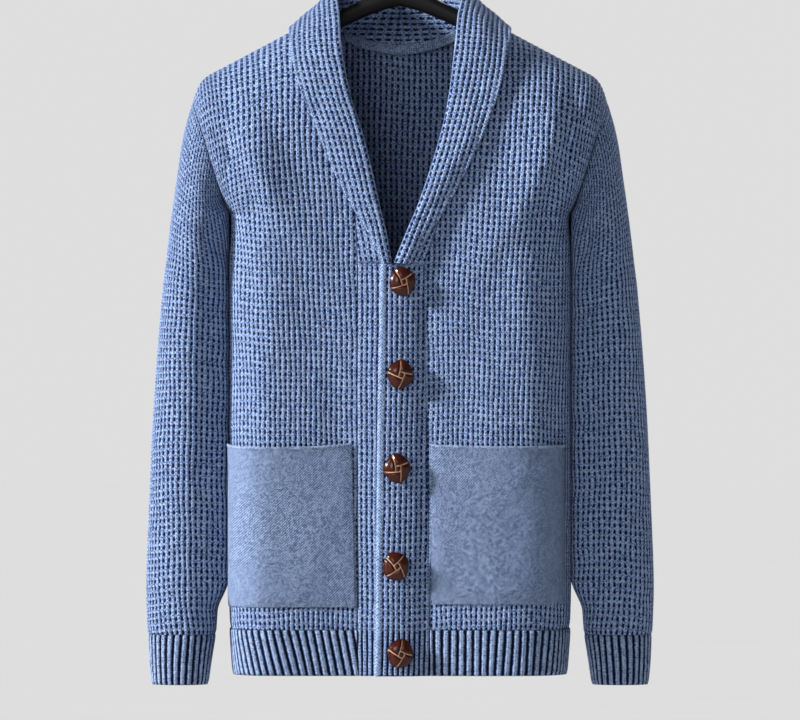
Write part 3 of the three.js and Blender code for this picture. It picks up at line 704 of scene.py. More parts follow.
def build_cuff(side, material):
    """Ribbed cuff at the end of a sleeve."""
    word = "left" if side > 0 else "right"
    per_rib, rows = 8, 12
    columns = CUFF_RIBS * per_rib
    place, angle, _, along = ring_grid(CUFF, rows, columns)
    base = ring_point(CUFF, place, angle, side, 0.0)
    c = np.linspace(0, CUFF_RIBS, columns + 1)[None, :] + 0 * along
    c = c + 0.05 * np.sin(c * 1.1 + along * 0.06) * np.sin(math.pi * c / CUFF_RIBS)
    edge = -1.2 * smooth(along[-1, 0] - 5, along[-1, 0], along) - 0.8 * smooth(5, 0, along)
    rib = relief(c, 0, 0.0, 0.0, 1.8) + 0.9
    outer = ring_point(CUFF, place, angle, side, rib + 0.7 * edge)
    inner = ring_point(CUFF, place, angle, side, np.full(along.shape, -WALL) + 0.3 * edge)
    data = stitch_data(c, along / RIB_ROW, 0.0, 0.0)
    obj = shell(f"rib_cuff_{word}", outer, inner, material, data)
    return declare(obj, base, f"cuff_{word}")


# Button bands


def band_stitches(x, z, from_edge):
    """Knit of the bands: waffle above, ribs in the hem, a plain selvedge at the free edge."""
    c, r = wander(x / BAND_PITCH, row_place(z) + 0.3, 0.05)
    bars = smooth(HEM_TOP - 3, HEM_TOP + 2, z)
    plain = smooth(SELVEDGE + 0.6, SELVEDGE - 0.6, from_edge)
    return c, r, bars, plain


def build_over_band(material, settings):
    """Band of the wearer's left front, which laps on top."""
    rows, columns = 248, 44
    height = np.linspace(0, BAND_TOP, rows + 1)[:, None]
    free = read(OVER_EDGE, "height", "x", height)
    seam = read(FRONT_EDGE, "height", "left", height) - HALF_GAP
    x = mix(free, seam, np.linspace(0, 1, columns + 1)[None, :])
    z = height + 0 * x
    drop = np.clip((x - OVER_BAND_REACH) / (seam - OVER_BAND_REACH), 0, 1)
    lift = mix(SEAM_GAP, -BAND_WALL, drop)
    c, r, bars, plain = band_stitches(x - free, z, x - free)
    bow = 0.5 * np.sin(z / 49.0 * math.pi) * smooth(20, 0, x - free)
    edge = -1.6 * np.exp(-(((x - free) / 1.3) ** 2)) - 1.0 * np.exp(-(((seam - x) / 1.6) ** 2))
    roll = 0.4 * np.exp(-(((x - free - 2.6) / 1.8) ** 2))
    height_out = relief(c, r, bars, plain, settings.knit_depth * 900) + edge + roll + bow
    angles = angle_at(-1, x, z)
    outer = body_skin(-1, angles, z, lift + BAND_WALL + height_out)
    inner = body_skin(-1, angles, z, lift + np.maximum(bow, 0))
    data = stitch_data(c, r, bars, plain)
    obj = shell("knit_band_left", outer, inner, material, data)
    return declare(obj, body_point(-1, angles, z), "band_left")


def build_under_band(material, settings):
    """Band of the wearer's right front, under the other one."""
    rows, columns = 248, 44
    height = np.linspace(0, BAND_TOP, rows + 1)[:, None]
    seam = -read(FRONT_EDGE, "height", "right", height) + HALF_GAP
    x = mix(seam, UNDER_BAND_EDGE, np.linspace(0, 1, columns + 1)[None, :])
    z = height + 0 * x
    c, r, bars, plain = band_stitches(UNDER_BAND_EDGE - x, z, UNDER_BAND_EDGE - x)
    bars = UNDER_BAND_BARS * bars
    edge = -1.1 * np.exp(-(((x - seam) / 1.8) ** 2)) - 1.0 * np.exp(-(((UNDER_BAND_EDGE - x) / 2) ** 2))
    height_out = relief(c, r, bars, plain, settings.knit_depth * 1000) + edge
    angles = angle_at(-1, x, z)
    outer = body_skin(-1, angles, z, np.minimum(height_out, 0))
    inner = body_skin(-1, angles, z, np.full(x.shape, -WALL))
    data = stitch_data(c, r, bars, plain)
    obj = shell("knit_band_right", outer, inner, material, data)
    return declare(obj, body_point(-1, angles, z), "band_right")


# Pockets

POCKETS = {
    "left": {"side": 1, "inner": 33.0, "outer": 172.0, "top": 243.0, "bottom": 75.0,
             "dip": 2.0, "slant": 0.0, "mouth": 2.2},
    "right": {"side": -1, "inner": 50.0, "outer": 179.6, "top": 245.0, "bottom": 72.0,
              "dip": 5.0, "slant": -3.5, "mouth": 3.0},
}
TWILL_PITCH = 2.8
POCKET_FOLDS = (
    (60, 226, 84, 50, 6, -1.0, 4),
    (140, 190, 40, 45, 12, -1.2, 6),
    (95, 120, -20, 60, 16, 0.9, -5),
    (60, 110, 10, 50, 12, -0.8, 4),
)


def build_pocket(word, material):
    """Patch pocket of fine jersey with a thin rolled mouth."""
    sizes = POCKETS[word]
    side = sizes["side"]
    # One cell of the grid is about a millimetre
    rows, columns = 168, 140
    u = np.linspace(0, 1, columns + 1)[None, :]
    v = np.linspace(0, 1, rows + 1)[:, None]
    dip = sizes["dip"] * np.sin(math.pi * u) ** 0.6
    z = mix(sizes["bottom"], sizes["top"] - dip, v)
    start = angle_at(-1, sizes["inner"] + sizes["slant"] * (1 - v) + 0 * u, z)
    end = angle_at(-1, sizes["outer"] + 0 * u * v, z)
    angles = even_angles(-1, z[:, 0], start[:, 0], end[:, 0], columns)
    x = body_point(-1, side * angles, z)[..., 0]
    folds = [(side * a, b, side * lean, size, wide, high, side * bend)
             for a, b, lean, size, wide, high, bend in POCKET_FOLDS]
    mouth = sizes["mouth"] * np.sin(math.pi * u) * v**4
    edge_u = np.minimum(u, 1 - u) * columns
    sewn = -1.0 * np.exp(-((edge_u / 1.6) ** 2)) - 1.0 * np.exp(-((v * rows / 1.6) ** 2))
    puff = 1.8 * (1 - np.exp(-((edge_u / 7) ** 2))) * (1 - np.exp(-((v * rows / 8) ** 2)))
    roll = 0.9 * np.exp(-(((1 - v) * rows - 1.6) / 1.7) ** 2)
    soft = creases(x, z, folds) * smooth(0, 14, edge_u) * smooth(0, 14, v * rows)
    lift = mouth + puff + np.maximum(soft, -0.6)
    outer = body_skin(-1, side * angles, z, SEAM_GAP + POCKET_WALL + lift + sewn * 0.6 + roll)
    inner = body_skin(-1, side * angles, z, SEAM_GAP + 0.9 + lift * 0.9 + 0 * u)
    plain = smooth(3.4, 2.2, (1 - v) * rows + 0 * u)
    data = stitch_data((x - z) / TWILL_PITCH, (x + z) / TWILL_PITCH, 1.0, plain)
    obj = shell(f"jersey_pocket_{word}", outer, inner, material, data)
    base = body_point(-1, side * angles, z)
    return declare(obj, base, f"pocket_{word}")


# Collar


def collar_stations(tab, side):
    """Seam, fold and edge of one half of the collar, from the V to the centre back."""
    column = "left" if side > 0 else "right"
    seam_x = read(FRONT_EDGE, "height", column, tab["seam"]) - COLLAR_INSET
    front_seam = body_skin(-1, side * angle_at(-1, seam_x, tab["seam"]), tab["seam"], -WALL / 2)
    angle = angle_at(1, COLLAR_BACK["seam_x"], NECK)
    back_seam = body_skin(1, side * angle, back_top(angle), -WALL / 2)
    back_seam[:, 0] *= 1 - 2 * COLLAR_INSET / NECK_HALF
    back_seam[:, 2] += 2 * COLLAR_INSET
    fold = stack(side * tab["fold_x"], tab["fold_y"], tab["fold_z"])
    back_fold = stack(side * COLLAR_BACK["fold_x"], COLLAR_BACK["fold_y"], COLLAR_BACK["fold_z"])
    edge = skin_at(-1, side * tab["edge_x"], tab["edge_z"], COLLAR_LIFT)
    back_edge = stack(side * COLLAR_BACK["edge_x"], COLLAR_BACK["edge_y"], COLLAR_BACK["edge_z"])
    return (
        np.concatenate([front_seam, back_seam]),
        np.concatenate([fold, back_fold]),
        np.concatenate([edge, back_edge]),
    )


def curve_through(points, places):
    """Centripetal curve through points, at places counted in points."""
    padded = np.concatenate([[2 * points[0] - points[1]], points, [2 * points[-1] - points[-2]]])
    i = np.clip(places.astype(int), 0, len(points) - 2)
    f = (places - i)[:, None]
    p0, p1, p2, p3 = (padded[i + k] for k in range(4))
    d0, d1, d2 = (np.sqrt(np.linalg.norm(b - a, axis=1))[:, None] for a, b in
                  ((p0, p1), (p1, p2), (p2, p3)))
    t1 = ((p1 - p0) / d0 - (p2 - p0) / (d0 + d1) + (p2 - p1) / d1) * d1
    t2 = ((p2 - p1) / d1 - (p3 - p1) / (d1 + d2) + (p3 - p2) / d2) * d1
    return (p1 + t1 * f + (3 * (p2 - p1) - 2 * t1 - t2) * f**2
            + (2 * (p1 - p2) + t1 + t2) * f**3)


def collar_section(seam, fold, edge, along):
    """Fine section of the collar, with the number of the point at the fold."""
    down = unit(edge - fold)
    up = unit(np.cross(along, down))
    if np.dot(up, (fold[0], fold[1], 30)) < 0:
        up = -up
    centre = fold + down * COLLAR_ROLL
    turns = np.linspace(-QUARTER, QUARTER, 13)[:, None]
    roll = centre - down * COLLAR_ROLL * np.cos(turns) + up * COLLAR_ROLL * np.sin(turns)
    stand = mix(seam, roll[0], np.linspace(0, 1, 16)[:-1, None])
    share = np.linspace(0, 1, 33)[1:, None]
    fall = mix(roll[-1], edge, share) + up * COLLAR_BULGE * np.sin(math.pi * share)
    fall = fall + up * 0.8 * np.exp(-(((1 - share) * np.linalg.norm(edge - fold) / 3.5) ** 2))
    return np.concatenate([stand, roll, fall]), len(stand) + 6


COLLAR_FOLDS = (
    # Distance from the fold, distance along from the V, lean, length, width, height, bend
    (16, 60, 30, 40, 7, -0.9, 4),
    (26, 120, 20, 50, 8, 1.0, -4),
    (30, 185, -18, 45, 9, -1.2, 5),
    (24, 240, 12, 40, 9, 1.0, -4),
    (36, 300, -10, 40, 8, -1.1, 3),
    (30, 370, 8, 40, 9, -1.0, 3),
)


def build_collar(word, material, settings):
    """One half of the shawl collar, folded over, from the V to the centre back."""
    side, tab = (1, COLLAR_LEFT) if word == "left" else (-1, COLLAR_RIGHT)
    seams, folds, edges = collar_stations(tab, side)
    rows, columns = 288, 108
    fine = np.linspace(0, len(folds) - 1, 800)
    line = curve_through(folds, fine)
    run = run_along(line)
    places = np.interp(np.linspace(0, run[-1], rows + 1), run, fine)
    seam, fold, edge = (curve_through(p, places) for p in (seams, folds, edges))
    along = unit(np.gradient(fold, axis=0))
    grid, reach = [], []
    for i in range(rows + 1):
        section, at = collar_section(seam[i], fold[i], edge[i], along[i])
        length = run_along(section)
        even = np.linspace(0, length[-1], columns + 1)
        grid.append(np.stack([np.interp(even, length, section[:, k]) for k in range(3)], -1))
        reach.append(even - length[at])
    grid, reach = np.array(grid), np.array(reach)
    grid[-1, :, 0] = 0
    normal = unit(np.cross(np.gradient(grid, axis=1), np.gradient(grid, axis=0)))
    over = normal[rows // 2, columns * 3 // 4]
    if np.dot(over, (grid[rows // 2, 0, 0], -60, 30)) < 0:
        normal = -normal
    normal[-1, :, 0] = 0
    walk = np.linspace(0, run[-1], rows + 1)[:, None] + 0 * reach
    c, r = wander(reach / COLLAR_PITCH, walk / COLLAR_ROW, 0.08)
    far = reach[:, -1:] - reach
    plain = 0.35 * smooth(6, 3.5, far)
    soft = creases(reach, walk, COLLAR_FOLDS) * smooth(2, 12, reach) * smooth(0, 10, walk)
    edge_dip = -0.7 * np.exp(-((far / 1.1) ** 2))
    height = relief(c, r, 1.0, plain, settings.knit_depth * 900)
    outer = grid + normal * (WALL / 2 + height + soft + edge_dip)[..., None]
    inner = grid + normal * (soft - WALL / 2 * (1 - 0.5 * np.exp(-((far / 1.1) ** 2))))[..., None]
    data = stitch_data(c, r, 1.0, plain)
    obj = shell(f"knit_collar_{word}", outer, inner, material, data)
    return declare(obj, grid, f"collar_{word}")


def build_neck_tape(material):
    """Plain tape over the seam inside the back of the neck."""
    rows, columns = 8, 96
    reach = angle_at(1, 60.0, NECK)
    angle = mix(-reach, reach, np.linspace(0, 1, columns + 1))[None, :]
    v = np.linspace(0, 1, rows + 1)[:, None]
    shift = stack(0, -(1.2 + 1.3 * v), 10.4 * (v - 0.4))
    top = back_top(angle)
    base = body_skin(1, angle, top, -WALL - SEAM_GAP + 0 * angle) + shift
    inward = body_skin(1, angle, top, -WALL - SEAM_GAP - 1.2 + 0 * angle) + shift
    bead = 0.35 * np.cos(v * 2 * math.pi) + 0 * angle
    outer = inward + unit(inward - base) * bead[..., None]
    c = body_point(1, angle, top)[..., 0] / 1.9 + 0 * v
    data = stitch_data(c, v * 3, 1.0, 0.4)
    obj = shell("tape_neck", outer, base, material, data)
    return declare(obj, base, "neck_tape")


# Buttons

BUTTON_HALF_WIDTH = 13.7
BUTTON_HALF_HEIGHT = 15.4
BUTTON_RISE = 8.6
BUTTONS = table(
    "x height turn",
    (1.6, 413, 20),
    (-0.5, 316, -17),
    (-3.7, 217.8, 8),
    (-4.8, 115.3, 35),
    (-0.5, 24.3, -25),
)


def knot_surface(p, q):
    """Height, worn-edge mask and painted-shade mask of a leather knot at places from -1 to 1 across it.
    """
    radius = np.hypot(p, q)
    p, q = p + 0.16 * q * q - 0.05, q - 0.14 * p * p + 0.04
    dome = np.sqrt(np.clip(1 - (np.minimum(radius, 1.0) ** 2.4) * 0.93, 0, 1))
    offset, groove = 0.2, 0.1
    line_a = np.where(p > -offset, np.abs(q - offset), 9.0)
    line_b = np.where(p < offset, np.abs(q + offset), 9.0)
    line_c = np.where(q > -offset, np.abs(p + offset), 9.0)
    line_d = np.where(q < offset, np.abs(p - offset), 9.0)
    near = np.minimum(np.minimum(line_a, line_b), np.minimum(line_c, line_d))
    dent = np.exp(-((near / groove) ** 2))
    worn = np.exp(-((near / 0.028) ** 2)) * smooth(1.0, 0.9, radius)
    # Painted shade: the deep mask darkens beside each groove between the strands and round the rim
    deep = 0.8 * np.exp(-(((near - 0.12) / 0.05) ** 2)) + 0.6 * smooth(0.85, 1.0, radius)
    return dome - 0.16 * dent, worn, np.minimum(deep, 1)


def build_button(index, material):
    """One woven leather knot button, sewn to the band."""
    size = 56
    ring = np.linspace(0, 1, size // 2 + 1)[:, None] ** 0.85
    turn = np.linspace(0, 2 * math.pi, 97)[None, :-1]
    p, q = ring * np.cos(turn), ring * np.sin(turn)
    rise, worn, deep = knot_surface(p, q)
    rise = rise * smooth(1.02, 0.93, ring + 0 * turn) + 0.22 * smooth(0.9, 1.0, ring + 0 * turn)
    tilt = math.radians(BUTTONS["turn"][index])
    lobe = 1 + 0.035 * np.cos(4 * turn)
    right = BUTTON_HALF_WIDTH * lobe * (p * math.cos(tilt) - q * math.sin(tilt))
    upward = BUTTON_HALF_HEIGHT * lobe * (p * math.sin(tilt) + q * math.cos(tilt))
    front = stack(right, -BUTTON_RISE * rise, upward)
    rim = np.stack([front[-1][:, 0] * 0.9, 0 * front[-1][:, 1], front[-1][:, 2] * 0.9], -1)
    verts = np.concatenate([front[0, :1], front[1:].reshape(-1, 3), rim, [[0, 0, 0]]])
    around = turn.shape[1]
    ids = 1 + np.arange(front.shape[0] * around).reshape(-1, around)
    nxt = np.roll(ids, -1, axis=1)
    quads = np.stack([ids[:-1], nxt[:-1], nxt[1:], ids[1:]], -1).reshape(-1, 4)
    centre = np.stack([np.zeros(around, int), nxt[0], ids[0]], -1)
    last = np.full(around, len(verts) - 1)
    back = np.stack([last, ids[-1], nxt[-1]], -1)
    faces = [centre[:, ::-1], quads[:, ::-1], back[:, ::-1]]
    height = BUTTONS["height"][index]
    angle = angle_at(-1, BUTTONS["x"][index], height)
    cloth = body_skin(-1, angle, height, 0.0)
    seat = body_skin(-1, angle, height, BAND_WALL + 2 * SEAM_GAP + 0.1)
    facing = Vector(unit(seat - cloth))
    spin = Vector((0, -1, 0)).rotation_difference(facing).to_matrix()
    verts = verts @ np.array(spin).T + seat
    tail = [0.0] * (around + 1)
    data = {
        "worn": np.concatenate([worn[0, :1], worn[1:].ravel(), tail]),
        # deep carries the painted shade beside the grooves and round the rim
        "deep": np.concatenate([deep[0, :1], deep[1:].ravel(), tail]),
    }
    obj = mesh_object(f"knot_button_{index + 1}", to_metres(verts), faces, material, data)
    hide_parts(f"button_{index + 1}")
    return obj


# Hanger

HANGER_REACH = 203.0
HANGER_TIP_START = 180.0
HANGER_TIP_DROP = 6.0
HANGER_HUB_TOP = 735.0
HANGER_HUB_BOTTOM = 705.0
HANGER_ARCH = 37
HOOK_ROD = 3.2
HOOK_RADIUS = 22.0
HOOK_CENTRE = 791.0


def hanger_top(x):
    """Top of the hanger's arm, just under the cloth of the shoulder."""
    clearance = (WALL + 2.8 * SEAM_GAP) * math.hypot(1, SHOULDER_DROP)
    tip = np.maximum(x - HANGER_TIP_START, 0) / (HANGER_REACH - HANGER_TIP_START)
    outer = shoulder_height(x) - clearance - HANGER_TIP_DROP * tip**2
    side = shoulder_height(NECK_HALF) - clearance
    share = 1 - np.minimum(x / NECK_HALF, 1)
    inner = mix(side, HANGER_HUB_TOP, share * (0.78 + 0.22 * share))
    return np.where(x >= NECK_HALF, outer, inner)


def hanger_bottom(x):
    """Lower edge of the hanger: an arch below the hub, then along under the arms."""
    share = np.clip(x / NECK_HALF, 0, 1)
    arch = HANGER_HUB_BOTTOM - HANGER_ARCH * share**1.35
    end = np.clip((x - NECK_HALF) / (HANGER_REACH - NECK_HALF), 0, 1)
    side = hanger_top(NECK_HALF) - (HANGER_HUB_BOTTOM - HANGER_ARCH)
    return np.where(x <= NECK_HALF, arch, hanger_top(x) - mix(side, 17, end))


def tube_faces(rows, around, first=0):
    """Quads of a tube and the two faces that close its ends."""
    ids = first + np.arange(rows * around).reshape(rows, around)
    nxt = np.roll(ids, -1, axis=1)
    quads = np.stack([ids[:-1], nxt[:-1], nxt[1:], ids[1:]], -1).reshape(-1, 4)
    return [quads, ids[:1, ::-1], ids[-1:]]


def build_hanger(material):
    """Moulded hanger: broad arms, hub and hook."""
    x = np.linspace(-1, 1, 121)
    x = HANGER_REACH * np.sign(x) * (1 - (1 - np.abs(x)) ** 1.15)
    top, bottom = hanger_top(np.abs(x)), hanger_bottom(np.abs(x))
    deep = mix(6, 19, (np.abs(x) / HANGER_REACH) ** 1.4)
    end = np.sqrt(np.clip((HANGER_REACH - np.abs(x)) / 3.0, 0.02, 1))
    turn = np.linspace(0, 2 * math.pi, 33)[:-1]
    shape_y = np.sign(np.cos(turn)) * np.abs(np.cos(turn)) ** 0.85
    y = deep[:, None] * shape_y * end[:, None]
    z = ((top + bottom) / 2)[:, None] + ((top - bottom) / 2 * end)[:, None] * np.sin(turn)
    arms = stack(x[:, None], y, z)
    angles = np.radians(np.arange(-62, 201, 6.55))
    arc = np.stack([HOOK_RADIUS * np.cos(angles), HOOK_CENTRE + HOOK_RADIUS * np.sin(angles)], -1)
    stem = np.array([[0, 724], [0, 732], [0, 742], [0, 752], [2.6, 763]])
    route = np.concatenate([stem, arc])
    ahead = unit(np.gradient(route, axis=0))
    aside = np.stack([-ahead[:, 1], ahead[:, 0]], -1)
    around = np.linspace(0, 2 * math.pi, 17)[:-1]
    size = HOOK_ROD * mix(1.35, 1.0, smooth(728, 750, route[:, 1]))[:, None]
    size[-1] *= 0.55
    px = route[:, :1] + aside[:, :1] * size * np.cos(around)
    pz = route[:, 1:] + aside[:, 1:] * size * np.cos(around)
    hook = stack(px, size * np.sin(around), pz)
    verts = np.concatenate([arms.reshape(-1, 3), hook.reshape(-1, 3)])
    first = arms.shape[0] * arms.shape[1]
    faces = tube_faces(arms.shape[0], arms.shape[1])
    faces += [group[:, ::-1] for group in tube_faces(hook.shape[0], hook.shape[1], first)]
    obj = mesh_object("moulded_hanger", to_metres(verts), faces, material)
    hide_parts("hanger")
    return obj


# Shader node groups and materials


def new_group(name, inputs, outputs):
    """Empty shader node group with named sockets; gives the tree and its two end nodes."""
    tree = bpy.data.node_groups.new(name, "ShaderNodeTree")
    for label, kind, default in inputs:
        socket = tree.interface.new_socket(label, in_out="INPUT", socket_type=kind)
        if default is not None:
            socket.default_value = default
    for label, kind in outputs:
        tree.interface.new_socket(label, in_out="OUTPUT", socket_type=kind)
    return tree, tree.nodes.new("NodeGroupInput"), tree.nodes.new("NodeGroupOutput")


def math_node(tree, kind, a, b=None, clamp=False):
    """Math node with its inputs linked or set; gives its output."""
    node = tree.nodes.new("ShaderNodeMath")
    node.operation = kind
    node.use_clamp = clamp
    for socket, value in zip(node.inputs, (a, b)):
        if value is None:
            continue
        if isinstance(value, (int, float)):
            socket.default_value = value
        else:
            tree.links.new(value, socket)
    return node.outputs[0]


def times(tree, a, b, clamp=False):
    """Product of two values."""
    return math_node(tree, "MULTIPLY", a, b, clamp)


def plus(tree, a, b):
    """Sum of two values."""
    return math_node(tree, "ADD", a, b)


def step_node(tree, value, low, high, start=0.0, end=1.0):
    """Soft step of a value between two limits."""
    node = tree.nodes.new("ShaderNodeMapRange")
    node.interpolation_type = "SMOOTHSTEP"
    for label, number in (("From Min", low), ("From Max", high), ("To Min", start), ("To Max", end)):
        if isinstance(number, (int, float)):
            node.inputs[label].default_value = number
        else:
            tree.links.new(number, node.inputs[label])
    tree.links.new(value, node.inputs["Value"])
    return node.outputs["Result"]


def noise_node(tree, scale, detail, vector=None, roughness=0.5):
    """Noise in the object's own space, or at the vector given; gives its value."""
    node = tree.nodes.new("ShaderNodeTexNoise")
    node.inputs["Scale"].default_value = scale
    node.inputs["Detail"].default_value = detail
    node.inputs["Roughness"].default_value = roughness
    if vector is None:
        vector = tree.nodes.new("ShaderNodeTexCoord").outputs["Object"]
    tree.links.new(vector, node.inputs["Vector"])
    return node.outputs["Fac"]


def mix_colour(tree, factor, a, b):
    """Mix of two colours, linked or set; gives the result."""
    node = tree.nodes.new("ShaderNodeMix")
    node.data_type = "RGBA"
    for socket, value in ((node.inputs[0], factor), (node.inputs[6], a), (node.inputs[7], b)):
        if isinstance(value, tuple):
            socket.default_value = (*value, 1.0)
        else:
            tree.links.new(value, socket)
    return node.outputs[2]


def scaled(colour, factor):
    """Colour made darker or brighter."""
    return tuple(factor * value for value in colour)


def fibre_group():
    """Short fibres and uneven dye of a spun yarn."""
    tree, _, end = new_group(
        "Yarn fibres", [], [("Tone", "NodeSocketFloat"), ("Fuzz", "NodeSocketFloat")])
    fine = noise_node(tree, 560.0, 3.0, roughness=0.7)
    middle = noise_node(tree, 240.0, 2.0)
    tone = plus(tree, times(tree, fine, 0.75), times(tree, middle, 0.25))
    tree.links.new(step_node(tree, tone, 0.42, 0.58), end.inputs["Tone"])
    tree.links.new(fine, end.inputs["Fuzz"])
    return tree


def stitch_group():
    """Slits, bars and strands of the knit from the stitch attributes."""
    tree, start, end = new_group(
        "Knit stitches",
        [("Stitch", "NodeSocketVector", None), ("Plain", "NodeSocketFloat", 0.0),
         ("Slit Width", "NodeSocketFloat", 0.5)],
        [("Slit", "NodeSocketFloat"), ("Height", "NodeSocketFloat")],
    )
    split = tree.nodes.new("ShaderNodeSeparateXYZ")
    tree.links.new(start.outputs["Stitch"], split.inputs[0])
    column, row, bars = split.outputs

    def from_middle(value):
        """Distance from the middle of a stitch, 0 there and 1 at its edges."""
        part = math_node(tree, "FRACT", value)
        away = math_node(tree, "ABSOLUTE", math_node(tree, "SUBTRACT", part, 0.5))
        return times(tree, away, 2.0)

    flat = tree.nodes.new("ShaderNodeVectorMath")
    flat.operation = "MULTIPLY"
    flat.inputs[1].default_value = (1.0, 1.0, 0.0)
    tree.links.new(start.outputs["Stitch"], flat.inputs[0])
    uneven = noise_node(tree, 1.7, 1.0, flat.outputs[0])
    side = from_middle(column)
    shift = times(tree, math_node(tree, "SUBTRACT", uneven, 0.5), 0.3)
    side = plus(tree, side, shift)
    gap = step_node(tree, side, 0.22, start.outputs["Slit Width"], 1.0, 0.0)
    level = plus(tree, from_middle(row), times(tree, shift, 0.6))
    end_bar = step_node(tree, level, 0.46, 0.7)
    open_row = math_node(tree, "SUBTRACT", 1.0, times(tree, end_bar, bars))
    slit = times(tree, gap, open_row)
    knit = math_node(tree, "SUBTRACT", 1.0, start.outputs["Plain"])
    slit = times(tree, slit, knit, clamp=True)
    lean = times(tree, side, 1.1)
    phase = plus(tree, times(tree, row, 2.0), lean)
    strand = math_node(tree, "SINE", times(tree, phase, 2 * math.pi))
    strand = times(tree, plus(tree, strand, 1.0), 0.5)
    ridge = math_node(tree, "SUBTRACT", step_node(tree, side, 0.3, 0.7),
                      step_node(tree, side, 0.8, 1.0, 0.0, 0.45))
    crown = times(tree, ridge, plus(tree, 0.15, times(tree, strand, 0.85)))
    bar_height = times(tree, times(tree, end_bar, bars), 0.15)
    knitted = math_node(tree, "MAXIMUM", crown, bar_height)
    raised = plus(tree, 0.15, times(tree, strand, 0.65))
    flat_yarn = times(tree, start.outputs["Plain"], raised)
    height = plus(tree, flat_yarn, times(tree, knitted, knit))
    # The slit mask marks where the material paints shade; the height drives the bump and also the
    # painted light and shade on the yarn
    tree.links.new(slit, end.inputs["Slit"])
    tree.links.new(height, end.inputs["Height"])
    return tree


def place_group(tree, group):
    """Adds a node group to a material's tree."""
    node = tree.nodes.new("ShaderNodeGroup")
    node.node_tree = group
    return node


def attribute(tree, name, output):
    """Output of a named attribute of the mesh."""
    node = tree.nodes.new("ShaderNodeAttribute")
    node.attribute_name = name
    return node.outputs[output]


def blank_material(name):
    """New material with its node tree and its Principled BSDF."""
    material = bpy.data.materials.new(name)
    material.use_nodes = True
    return material, material.node_tree, material.node_tree.nodes["Principled BSDF"]


def bump(tree, height, strength, distance, shader):
    """Bump from a height value into a shader's normal."""
    node = tree.nodes.new("ShaderNodeBump")
    node.inputs["Strength"].default_value = strength
    node.inputs["Distance"].default_value = distance
    tree.links.new(height, node.inputs["Height"])
    tree.links.new(node.outputs["Normal"], shader.inputs["Normal"])


def knit_material(name, yarn, shade, slit_width, strength, distance):
    """Soft matt knit: yarn painted lighter on its raised tops and darker lower down, painted shade in
    the slits between the stitches, and fibres over both.
    """
    material, tree, shader = blank_material(name)
    stitches = place_group(tree, knit_groups()["stitches"])
    fibres = place_group(tree, knit_groups()["fibres"])
    stitches.inputs["Slit Width"].default_value = slit_width
    tree.links.new(attribute(tree, "stitch", "Vector"), stitches.inputs["Stitch"])
    tree.links.new(attribute(tree, "plain", "Fac"), stitches.inputs["Plain"])
    # Painted light and shade: the yarn is painted towards its lit colour on the raised tops of the
    # stitches and towards the dark deep colour lower down; the fibre tone is uneven dye
    deep = tuple(0.3 * value**3 for value in yarn)
    lit = times(tree, stitches.outputs["Height"], 0.8)
    tone = plus(tree, lit, times(tree, fibres.outputs["Tone"], 0.42))
    tone = step_node(tree, tone, 0.08, 0.96)
    body = mix_colour(tree, tone, deep, yarn)
    # Painted shade: the slits between the stitches are painted with the dark shade colour
    colour = mix_colour(tree, stitches.outputs["Slit"], body, shade)
    tree.links.new(colour, shader.inputs["Base Color"])
    shader.inputs["Roughness"].default_value = 0.95
    shader.inputs["Specular IOR Level"].default_value = 0.05
    shader.inputs["Sheen Weight"].default_value = 0.08
    shader.inputs["Sheen Roughness"].default_value = 0.6
    shader.inputs["Sheen Tint"].default_value = (*yarn, 1.0)
    height = plus(tree, stitches.outputs["Height"], times(tree, fibres.outputs["Fuzz"], 0.3))
    bump(tree, height, strength, distance, shader)
    return material


def knit_groups():
    """The two shared node groups of the knit, made once."""
    if "Yarn fibres" not in bpy.data.node_groups:
        fibre_group()
        stitch_group()
    return {"fibres": bpy.data.node_groups["Yarn fibres"],
            "stitches": bpy.data.node_groups["Knit stitches"]}


def leather_material(name, dark, worn):
    """Glossy dark leather, paler and redder where the strands' edges are rubbed, with painted shade
    beside the grooves and round the rim.
    """
    material, tree, shader = blank_material(name)
    grain = noise_node(tree, 1400.0, 3.0)
    blotch = noise_node(tree, 220.0, 2.0)
    base = mix_colour(tree, blotch, dark, scaled(dark, 2.0))
    mask = times(tree, attribute(tree, "worn", "Fac"), step_node(tree, blotch, 0.25, 0.6, 0.5, 1.0))
    colour = mix_colour(tree, mask, base, worn)
    # Painted shade beside the grooves and round the rim, from the deep mask
    colour = mix_colour(tree, attribute(tree, "deep", "Fac"), colour, scaled(dark, 0.25))
    tree.links.new(colour, shader.inputs["Base Color"])
    tree.links.new(step_node(tree, grain, 0.2, 0.8, 0.22, 0.4), shader.inputs["Roughness"])
    shader.inputs["Specular IOR Level"].default_value = 0.1
    shader.inputs["Coat Weight"].default_value = 0.35
    shader.inputs["Coat Roughness"].default_value = 0.08
    bump(tree, grain, 0.2, 0.0002, shader)
    return material


def plastic_material(name, colour):
    """Black moulded plastic with a fine spark texture."""
    material, tree, shader = blank_material(name)
    spark = noise_node(tree, 1600.0, 2.0)
    cloud = noise_node(tree, 30.0, 2.0)
    tree.links.new(mix_colour(tree, cloud, colour, scaled(colour, 1.8)), shader.inputs["Base Color"])
    tree.links.new(step_node(tree, cloud, 0.3, 0.7, 0.42, 0.54), shader.inputs["Roughness"])
    shader.inputs["Specular IOR Level"].default_value = 0.15
    bump(tree, spark, 0.3, 0.0002, shader)
    return material


def plain_material(name, colour):
    """Matt pale surface of the studio floor."""
    material, tree, shader = blank_material(name)
    cloud = noise_node(tree, 2.0, 2.0)
    tree.links.new(mix_colour(tree, cloud, colour, scaled(colour, 0.97)), shader.inputs["Base Color"])
    shader.inputs["Roughness"].default_value = 1.0
    shader.inputs["Specular IOR Level"].default_value = 0.0
    return material


